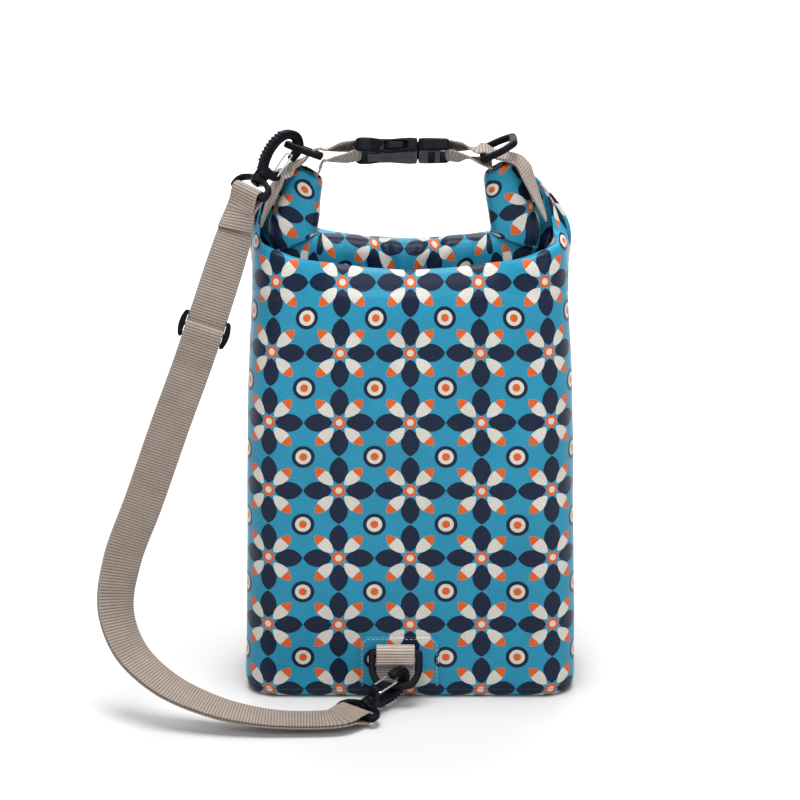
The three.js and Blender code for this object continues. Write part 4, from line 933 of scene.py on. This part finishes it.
TIP_OVER = dict(
    right=[(43.2, 360.4), (46.5, 361.0), (49.6, 359.7), (53, 357.4), (57, 356.2), (61, 355.6), (65, 354.8), (69, 353.0), (71.6, 350.2)],
    left=[(-54.2, 359.8), (-57.8, 360.4), (-61.3, 359.3), (-64.2, 357.0), (-67.0, 353.8), (-70.8, 351.6), (-75.0, 349.6), (-77.6, 345.8)],
)
TIP_INNER = dict(
    right=[(52.0, 350.0), (49.2, 351.2), (46.8, 352.2), (43.5, 352.8), (38, 354.2)],
    left=[(-58.4, 345.2), (-57.4, 347.6), (-56.8, 350.0), (-55.6, 351.8), (-53, 352.6), (-48.5, 353.0)],
)
OUTER_Q = (0.95, 0.90, 0.85, 0.80, 0.75, 0.70)
WEB_CLEAR, OUTER_Y, OUTER_TURN = 1.2, 2.6, dict(left=math.radians(14), right=math.radians(17))


def top_webbing(side):
    s, ring = (1 if side == "right" else -1), TOP_RING[side]
    bar_x = BUCKLE["prong"] - 2.2 if side == "right" else -BUCKLE["socket"] + 2.2
    c, r = placed(BUCKLE_M, (bar_x, 0, 0))[0], 1.9 + 0.5 + WEB_T / 2
    wb, nb, flat, wr = vec(0, CT, ST), vec(0, -ST, CT), vec(0, 1, 0), unit(ring["bar"])
    st = []
    mixed = lambda a, b, t: unit(np.asarray(a) * (1 - t) + np.asarray(b) * t)

    def on_tube(q):
        f = spine(s * q)
        n = -(f["h"] + WEB_CLEAR + WEB_T / 2)
        return vec(f["x"] + f["nx"] * n, ring["web_y"] - OUTER_Y, f["z"] + f["nz"] * n)

    def faced(k):
        return vec(s * math.sin(OUTER_TURN[side] * k), math.cos(OUTER_TURN[side] * k), 0)

    inner, over = TIP_INNER[side], TIP_OVER[side]
    for i, (x, z) in enumerate(inner):
        st.append((vec(x, ring["web_y"], z), mixed(wr, wb, max(0.0, i - len(inner) + 2.6) / 4)))

    def round_bar(k):
        f = math.pi * k / 6
        return c - nb * r * math.cos(f) + vec(-s, 0, 0) * r * math.sin(f)

    last = vec(inner[-1][0], ring["web_y"], inner[-1][1])
    st.append(((last + round_bar(0)) / 2 - nb * 0.6, mixed(flat, wb, 0.85)))
    for k in range(7):
        st.append((round_bar(k), wb))
    first = vec(over[0][0], ring["web_y"], over[0][1])
    st.append(((first + round_bar(6)) / 2 + nb * 0.6, mixed(wr, wb, 0.75)))
    for i, (x, z) in enumerate(over):
        t = max(0.0, (i - 3) / (len(over) - 3))
        st.append((vec(x, ring["web_y"] - OUTER_Y * t, z), mixed(wr, faced(1), t)))
    for i, q in enumerate(OUTER_Q):
        st.append((on_tube(q), faced(1 - i / (len(OUTER_Q) - 1))))
    return band(f"{side}_end_webbing", st, (f"{side}_top_webbing",), step=0.8)


# ------------------------------------------------------------------ hooks in place
EYE = dict(bar_y=-15.8, half=2.1, thick=4.4)


def hook_frame(contact, axis, bar, roll, seat):
    y = unit(axis)
    z = unit(np.asarray(bar, float) - y * np.dot(bar, y))
    x = np.cross(y, z)
    c, s = math.cos(math.radians(roll)), math.sin(math.radians(roll))
    x2, z2 = x * c + z * s, z * c - x * s
    return frame_at(contact - x2 * seat[0] - y * seat[1], x2, y, z2)


HOOK_M = dict(
    lower=hook_frame(placed(LOWER_RING_M, (-1.5, RING["depth"], 0))[0], (0.67, 0.69, 0.255), (-1, 0, 0), 0, (-0.7, 20.6)),
    upper=hook_frame(placed(RING_M["left"], (3.0, RING["depth"], 0))[0], (0.60, 0.40, 0.69), (0, -0.98, 0.2), -27, (0.9, 24.1)),
)
EYE_M = dict(upper=turned(HOOK_M["upper"], -75), lower=turned(HOOK_M["lower"], 76))

# ------------------------------------------------------------------ sling strap
EYE_TOP, EYE_LOW = placed(EYE_M["upper"], (0, EYE["bar_y"], 0))[0], placed(EYE_M["lower"], (0, EYE["bar_y"], 0))[0]
# middle line of the strap's single layer, with the direction across it
STRAP_ROUTE = [
    ((-112.0, -41.5, 309), (0.86, -0.42, -0.26)), ((-119.8, -45.5, 285), (0.94, -0.16, -0.32)), ((-129.5, -51, 256), (0.95, -0.04, -0.31)),
    ((-140, -57, 226), (0.95, 0.00, -0.31)), ((-153, -60, 191), (0.94, 0.00, -0.33)), ((-171, -63, 140), (0.94, 0.06, -0.32)),
    ((-186, -67, 100), (0.93, 0.25, -0.25)), ((-190.5, -73, 69), (0.86, 0.48, -0.14)), ((-181, -85, 45), (0.72, 0.68, 0.05)),
    ((-158, -98, 26.5), (0.48, 0.86, 0.14)), ((-126, -107, 14), (0.22, 0.97, 0.10)), ((-100, -110, 8.5), (0.08, 0.99, 0.04)),
    ((-76, -110, 6), (-0.12, 0.99, 0.00)),
]
LEAVE = math.radians(24)
FIRST_W, LAST_W = EYE_M["upper"][:3, 0], -EYE_M["lower"][:3, 0]
LEAVE_DIR = -EYE_M["upper"][:3, 1] * math.cos(LEAVE) - EYE_M["upper"][:3, 2] * math.sin(LEAVE)
ARRIVE_DIR = unit(np.cross(LAST_W, (0, 0, 1)))
STRAP_POINTS = [(EYE_TOP, FIRST_W)] + [(EYE_TOP + LEAVE_DIR * d, FIRST_W) for d in (7, 13)] + [(vec(*p), vec(*w)) for p, w in STRAP_ROUTE]
STRAP_POINTS += [(EYE_LOW - ARRIVE_DIR * d, LAST_W) for d in (16, 8)] + [(EYE_LOW, LAST_W)]
STRAP_LINE, STRAP_AT = centripetal([p for p, _ in STRAP_POINTS], 60)
STRAP_S = np.concatenate([[0], np.cumsum(np.linalg.norm(np.diff(STRAP_LINE, axis=0), axis=1))])
STRAP_LENGTH = STRAP_S[-1]
STRAP_ACROSS = np.array([w for _, w in STRAP_POINTS])


def strap_at(s):
    s = min(STRAP_LENGTH, max(0.0, s))
    p = np.array([np.interp(s, STRAP_S, STRAP_LINE[:, c]) for c in range(3)])
    e = 0.6
    a, b = (np.array([np.interp(min(STRAP_LENGTH, max(0, s + d)), STRAP_S, STRAP_LINE[:, c]) for c in range(3)]) for d in (-e, e))
    run = unit(b - a)
    t = float(np.interp(s, STRAP_S, STRAP_AT))
    k = min(len(STRAP_POINTS) - 2, int(t))
    w = STRAP_ACROSS[k] * (1 - (t - k)) + STRAP_ACROSS[k + 1] * (t - k)
    w = unit(w - run * np.dot(w, run))
    return p, run, w, np.cross(run, w)


SLIDER = dict(at=92.0, bar=1.2, centre=3.9)
LOOP_R = 2.2 + 0.6 + WEB_T / 2
FRONT = WEB_T + 0.5
LAP = dict(upper=26.0, slider=17.0)


def back_off(s):
    return -LOOP_R * (1 - smooth(0, 12, s)) - LOOP_R * smooth(STRAP_LENGTH - 16, STRAP_LENGTH, s)


def front_off(s):
    return FRONT + (LOOP_R - FRONT) * smooth(STRAP_LENGTH - 18, STRAP_LENGTH, s) + FRONT * (1 - smooth(SLIDER["at"] + LAP["slider"], SLIDER["at"] + LAP["slider"] + 8, s))


def lap_off(s):
    return FRONT + (LOOP_R - FRONT) * (1 - smooth(0, 10, s))


def sling_strap():
    st = []

    def put(s, off):
        p, _, w, face = strap_at(s)
        st.append((p + face * off, w))

    def loop(s, off, r, a, b, n, way):
        p, run, w, face = strap_at(s)
        c = p + face * off
        for k in range(n + 1):
            g = math.radians(a + (b - a) * k / n)
            st.append((c + face * r * math.cos(g) + run * way * r * math.sin(g), w))

    L = STRAP_LENGTH
    for s in (26, 22, 18, 14, 11, 8.5, 6, 2.5):
        put(s, lap_off(s))
    loop(0, 0, LOOP_R, 0, 180, 12, -1)
    for s in (3, 6, 9, 13, 20):
        put(s, back_off(s))
    s = 26.0
    while s < L - 20:
        put(s, back_off(s)); s += 6.0
    for d in (16, 12, 8, 5, 2.5):
        put(L - d, back_off(L - d))
    loop(L, 0, LOOP_R, 180, 0, 12, 1)
    for d in (2.5, 5, 8, 12, 16):
        put(L - d, front_off(L - d))
    s = L - 22
    while s > SLIDER["at"] + 30:
        put(s, front_off(s)); s -= 6.0
    a, r = SLIDER["at"], SLIDER["bar"] + WEB_AIR + WEB_T / 2
    for d, off in ((25, FRONT), (21, FRONT * 1.5), (17, FRONT * 2), (12, FRONT * 2 + 0.3), (7, SLIDER["centre"] + r - 0.8), (3, SLIDER["centre"] + r - 0.1)):
        put(a + d, off)
    loop(a, SLIDER["centre"], r, 0, 180, 8, -1)
    for d, off in ((4, SLIDER["centre"] - r), (9, FRONT), (15, FRONT)):
        put(a + d, off)
    return band("sling_webbing", st, ("strap_webbing",), step=1.0)


TAB_BAND, TAB_LENGTH = lower_tab()
LEFT_BAND, LEFT_LENGTH = top_webbing("left")
RIGHT_BAND, RIGHT_LENGTH = top_webbing("right")
STRAP_BAND, WEB_LENGTH = sling_strap()


def strap_stitches():
    runs = []

    def row(s, off, along=False):
        p, run, w, face = strap_at(s)
        pts = [p + w * a + face * (off(s) + WEB_T / 2) for a in np.linspace(-11.2, 11.2, 24)]
        runs.append((pts, [face] * len(pts)))

    def edge(s0, s1, a, off):
        pts, outs = [], []
        for s in np.linspace(s0, s1, 14):
            p, run, w, face = strap_at(s)
            pts.append(p + w * a + face * (off(s) + WEB_T / 2)); outs.append(face)
        runs.append((pts, outs))

    for s in (13.5, 23.6):
        row(s, lap_off)
    for a in (-10.6, 10.6):
        edge(14.5, 23, a, lap_off)
    row(SLIDER["at"] + 14.6, lambda s: FRONT * 2 + 0.2)
    return stitch_rows("strap_stitches", runs, TAN_THREAD, length=2.0, gap=0.7, half=0.28)


STRAP_STITCHES = strap_stitches()

# ------------------------------------------------------------------ hard pieces
HOOK = dict(thick=6.4, pivot=(7.2, 3.4), tip=(6.1, 20.3), wire=0.6, wire_z=4.2)
# spine of the hook: x, y, half width
HOOK_LINE = [(-1.8, 0.5, 3.0), (-4.8, 6, 3.0), (-6.9, 14, 2.9), (-6.8, 22, 2.9), (-4.2, 28.4, 3.0), (1.6, 31.4, 3.1), (7.0, 29, 3.0), (9.3, 23.8, 2.6), (9.1, 18.4, 2.1)]


def capsule(a, b, radius, sides=14, rings=4):
    """Closed round-ended bar from a to b."""
    a, b = np.asarray(a, float), np.asarray(b, float)
    t = unit(b - a)
    x = unit(np.cross(t, (0, 0, 1) if abs(t[2]) < 0.9 else (1, 0, 0)))
    y = np.cross(t, x)
    prof = [(a, -math.pi / 2 * k / rings) for k in range(rings, -1, -1)] + [(b, math.pi / 2 * k / rings) for k in range(rings + 1)]
    verts, faces = [], []
    for c, f in prof:
        for k in range(sides):
            g = 2 * math.pi * k / sides
            rr = max(1e-3, radius * math.cos(f))
            verts.append(c + t * radius * math.sin(f) + (x * math.cos(g) + y * math.sin(g)) * rr)
    for i in range(len(prof) - 1):
        for k in range(sides):
            j = (k + 1) % sides
            faces.append((i * sides + k, i * sides + j, (i + 1) * sides + j, (i + 1) * sides + k))
    faces.append(tuple(range(sides))[::-1])
    e = (len(prof) - 1) * sides
    faces.append(tuple(range(e, e + sides)))
    return verts, faces


def brick(lo, hi):
    v = [(x, y, z) for z in (lo[2], hi[2]) for y in (lo[1], hi[1]) for x in (lo[0], hi[0])]
    return v, [(0, 2, 3, 1), (4, 5, 7, 6), (0, 1, 5, 4), (2, 6, 7, 3), (0, 4, 6, 2), (1, 3, 7, 5)]


def tool(name, parts, m):
    """A scratch object from closed parts in a local frame (mm)."""
    verts, faces = [], []
    for v, f in parts:
        base = len(verts)
        verts += placed(m, v).tolist()
        faces += [tuple(base + i for i in x) for x in f]
    me = bpy.data.meshes.new(name)
    me.from_pydata((np.array(verts) * MM).tolist(), [], faces)
    bm = bmesh.new(); bm.from_mesh(me); bmesh.ops.recalc_face_normals(bm, faces=bm.faces); bm.to_mesh(me); bm.free()
    ob = bpy.data.objects.new(name, me)
    bpy.context.collection.objects.link(ob)
    return ob


CHEEK = dict(inner=13.0, outer=16.8, half=9.5, bow=2.3, close=0.22)


def bowed_cheeks(co):
    """The slider's cheeks bow out in the middle, thin towards their ends and keep a crisp inner edge close to the webbing."""
    p, run, w, _ = strap_at(SLIDER["at"])
    d = co / MM - p
    x, y = d @ w, np.abs(d @ run)
    wide = np.abs(x) - CHEEK["inner"]
    full, close = CHEEK["outer"] - CHEEK["inner"], CHEEK["close"]
    bowed = (full + close - CHEEK["bow"] * np.minimum(y / CHEEK["half"], 1) ** 2) * np.maximum(wide / full, 0) ** 2.2 - close
    ramp = np.clip(wide / 0.7 + 1, 0, 1)
    move = np.where(wide > 0, bowed - wide, -close * ramp * ramp * (3 - 2 * ramp)) * np.sign(x)
    return co + np.outer(move, w) * MM


def moulded(name, node, body, m=None, adds=(), cuts=(), voxel=0.32, rounds=5, keep=0.4, shape=None):
    """A moulded plastic piece: the frame's solid with ribs added and recesses cut, its edges rounded over."""
    me = NODES[node].data.copy()
    me.name = name
    ob = bpy.data.objects.new(name, me)
    bpy.context.collection.objects.link(ob)
    scratch = []
    for kind, parts in (("UNION", adds), ("DIFFERENCE", cuts)):
        for k, part in enumerate(parts):
            t = tool(f"{name}_{kind.lower()}_{k}", [part], m)
            scratch.append(t)
            mod = ob.modifiers.new(f"{kind}{k}", "BOOLEAN")
            mod.operation, mod.solver, mod.object = kind, "EXACT", t
    mod = ob.modifiers.new("remesh", "REMESH")
    mod.mode, mod.voxel_size = "VOXEL", voxel * MM
    mod = ob.modifiers.new("round", "SMOOTH")
    mod.factor, mod.iterations = 0.5, rounds
    if keep < 1:
        mod = ob.modifiers.new("thin", "DECIMATE")
        mod.ratio = keep
    bpy.context.view_layer.update()
    done = bpy.data.meshes.new_from_object(ob.evaluated_get(bpy.context.evaluated_depsgraph_get()))
    ob.modifiers.clear()
    ob.data = done
    done.name = name
    for t in scratch:
        bpy.data.objects.remove(t)
    if shape:
        co = np.empty(len(done.vertices) * 3, np.float32)
        done.vertices.foreach_get("co", co)
        done.vertices.foreach_set("co", shape(co.reshape(-1, 3).astype(float)).astype(np.float32).ravel())
        done.update()
    done.materials.clear()
    done.materials.append(PLASTIC)
    done.polygons.foreach_set("use_smooth", np.ones(len(done.polygons), bool))
    finish_piece(ob, body, (node,))
    return ob


def hook_ribs():
    """Cross ribs on the back of the hook's spine."""
    line, at = centripetal([(x, y, 0) for x, y, _ in HOOK_LINE], 40)
    s = np.concatenate([[0], np.cumsum(np.linalg.norm(np.diff(line, axis=0), axis=1))])
    ribs = []
    for d in np.arange(6.0, 26.5, 2.5):
        p = np.array([np.interp(d, s, line[:, c]) for c in range(3)])
        q = np.array([np.interp(d + 0.4, s, line[:, c]) for c in range(3)])
        t = unit(q - p)
        k = float(np.interp(d, s, at))
        half = table([(i, r[2]) for i, r in enumerate(HOOK_LINE)], k)[0]
        c = p + vec(-t[1], t[0], 0) * (half - 0.3)
        ribs.append(capsule(c + vec(0, 0, -2.3), c + vec(0, 0, 2.3), 0.85))
    return ribs


def hook_recess(side):
    """Long shallow groove in each broad face of the hook's spine."""
    pts = centripetal([(x, y, side * HOOK["thick"] / 2) for x, y, _ in HOOK_LINE[1:8]], 6)[0]
    sides, verts, faces = 8, [], []
    for i, p in enumerate(pts):
        a, b = pts[max(0, i - 1)], pts[min(len(pts) - 1, i + 1)]
        t = unit(b - a)
        nrm = vec(-t[1], t[0], 0)
        ease = min(1.0, min(i, len(pts) - 1 - i) / 3 + 0.15)
        for k in range(sides):
            g = 2 * math.pi * k / sides
            verts.append(p + nrm * 1.25 * ease * math.cos(g) + vec(0, 0, 1) * 0.55 * ease * math.sin(g))
    for i in range(len(pts) - 1):
        for k in range(sides):
            j = (k + 1) % sides
            faces.append((i * sides + k, i * sides + j, (i + 1) * sides + j, (i + 1) * sides + k))
    faces.append(tuple(range(sides))[::-1])
    e = (len(pts) - 1) * sides
    faces.append(tuple(range(e, e + sides)))
    return verts, faces


def wire_gate(which):
    """Sprung wire loop: the lower run is the pivot pin, the upper run goes through the nose."""
    (px, py), (tx, ty), z, c = HOOK["pivot"], HOOK["tip"], HOOK["wire_z"], 1.1
    length = math.hypot(tx - px, ty - py)
    ux, uy = (tx - px) / length, (ty - py) / length
    flat = []
    for s0, z0, a0 in ((c, z - c, 180), (length - c, z - c, 90), (length - c, -z + c, 0), (c, -z + c, -90)):
        for k in range(7):
            a = math.radians(a0 - 90 * k / 6)
            flat.append((s0 + c * math.cos(a), z0 + c * math.sin(a)))
    dense = []
    for i in range(len(flat)):
        a, b = np.array(flat[i]), np.array(flat[(i + 1) % len(flat)])
        steps = max(1, int(np.linalg.norm(b - a) / 1.2))
        dense += [a + (b - a) * k / steps for k in range(steps)]
    pts = np.array([(px + ux * s, py + uy * s, zz) for s, zz in dense])
    n, sides, verts, faces = len(pts), 14, [], []
    out = np.cross((ux, uy, 0), (0, 0, 1))
    for i in range(n):
        t = unit(pts[(i + 1) % n] - pts[i - 1])
        x = np.cross(t, out)
        for k in range(sides):
            g = 2 * math.pi * k / sides
            verts.append(pts[i] + (x * math.cos(g) + out * math.sin(g)) * HOOK["wire"])
    for i in range(n):
        j = (i + 1) % n
        for k in range(sides):
            l = (k + 1) % sides
            faces.append((i * sides + k, i * sides + l, j * sides + l, j * sides + k))
    ob = add_piece(f"{which}_gate_wire", placed(HOOK_M[which], verts), faces, STEEL, body=f"{which}_gate", replaces=(f"{which}_gate",))
    bm = bmesh.new(); bm.from_mesh(ob.data); bmesh.ops.recalc_face_normals(bm, faces=bm.faces); bm.to_mesh(ob.data); bm.free()
    return ob


for which in ("upper", "lower"):
    moulded(f"{which}_snap_hook", f"{which}_hook", f"{which}_hook", HOOK_M[which], adds=hook_ribs(), cuts=[hook_recess(1), hook_recess(-1)], voxel=0.3, rounds=4)
    moulded(f"{which}_eye", f"{which}_swivel_eye", "bag", voxel=0.3, rounds=5)
    wire_gate(which)
for side in ("left", "right"):
    moulded(f"{side}_ring", f"{side}_d_ring", "right_ring" if side == "right" else "bag", voxel=0.32, rounds=7)
moulded("lower_ring", "lower_d_ring", "bag", voxel=0.32, rounds=7)
moulded("webbing_slider", "strap_slider", "bag", voxel=0.28, rounds=5, shape=bowed_cheeks)


def socket_cuts():
    """Two guide slots on the underside of the socket."""
    z = -4.75
    cuts = [brick((-31.5, y - 1.0, z - 1), (-23.8, y + 1.0, z + 1.1)) for y in (-10.4, 10.4)]
    return cuts


moulded("socket_half", "buckle_socket", "bag", BUCKLE_M, cuts=socket_cuts(), voxel=0.38, rounds=4)
moulded("prong_half", "buckle_prong", "bag", BUCKLE_M, voxel=0.38, rounds=4)


# ------------------------------------------------------------------ floor and light
def make_stage():
    n = Nodes("studio_floor")
    p = n.place()
    tone = n.noise(p, 3.0, 2.0)
    s = n.t.nodes.new("ShaderNodeSeparateXYZ")
    n.t.links.new(p, s.inputs[0])
    # painted light: the floor is darker round the bag and near-white farther off, evening out how the lamps fall off
    # with distance
    near = n.mix(tone, (0.56, 0.56, 0.56, 1), (0.58, 0.58, 0.58, 1))
    far = n.ramp(n.length(s.outputs[0], s.outputs[1]), 0.3, 1.1)
    n.set(Base_Color=n.mix(far, near, (0.96, 0.96, 0.96, 1)), Roughness=0.9)
    me = bpy.data.meshes.new("studio_floor")
    pts, faces, steps = [], [], 16
    prof = [(-3.0, 0.0), (1.6, 0.0)] + [(1.6 + 1.2 * math.sin(a), 1.2 - 1.2 * math.cos(a)) for a in np.linspace(0.1, math.pi / 2, steps)] + [(2.8, 4.0)]
    for y, z in prof:
        pts += [(-5, y, z - 0.0006), (5, y, z - 0.0006)]
    for i in range(len(prof) - 1):
        faces.append((2 * i, 2 * i + 1, 2 * i + 3, 2 * i + 2))
    me.from_pydata(pts, [], faces)
    me.materials.append(n.mat)
    me.polygons.foreach_set("use_smooth", np.ones(len(me.polygons), bool))
    ob = bpy.data.objects.new("studio_floor", me)
    bpy.context.collection.objects.link(ob)
    ob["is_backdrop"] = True
    w = bpy.data.worlds.new("studio")
    bpy.context.scene.world = w
    w.use_nodes = True
    bg = w.node_tree.nodes.get("Background")
    bg.inputs[0].default_value, bg.inputs[1].default_value = (1.0, 1.0, 1.0, 1.0), 0.40

    def lamp(name, place, aim, size, power, tint=(1, 1, 1)):
        d = bpy.data.lights.new(name, "AREA")
        d.shape, d.size, d.energy, d.color = "DISK", size, power, tint
        o = bpy.data.objects.new(name, d)
        bpy.context.collection.objects.link(o)
        o.location = place
        o.rotation_euler = (Vector(aim) - Vector(place)).to_track_quat("-Z", "Y").to_euler()

    lamp("key", (-0.3, -2.1, 1.65), (0, 0, 0.22), 0.9, 17)
    lamp("fill", (1.6, -1.5, 0.9), (0, 0, 0.2), 1.2, 7)
    lamp("top", (0.0, -0.35, 2.2), (0, 0, 0.2), 1.4, 58)
    lamp("back", (0.0, 1.4, 2.2), (0, 1.3, 0), 1.6, 40)


make_stage()
bpy.context.scene.view_settings.view_transform = "Standard"

plain = lambda box: [[float(x) for x in p] for p in box]
{"cad": plain(CAD_BOX), "visual": plain(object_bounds()), "webbing_mm": {"sling": WEB_LENGTH, "left": LEFT_LENGTH, "right": RIGHT_LENGTH, "tab": TAB_LENGTH}}
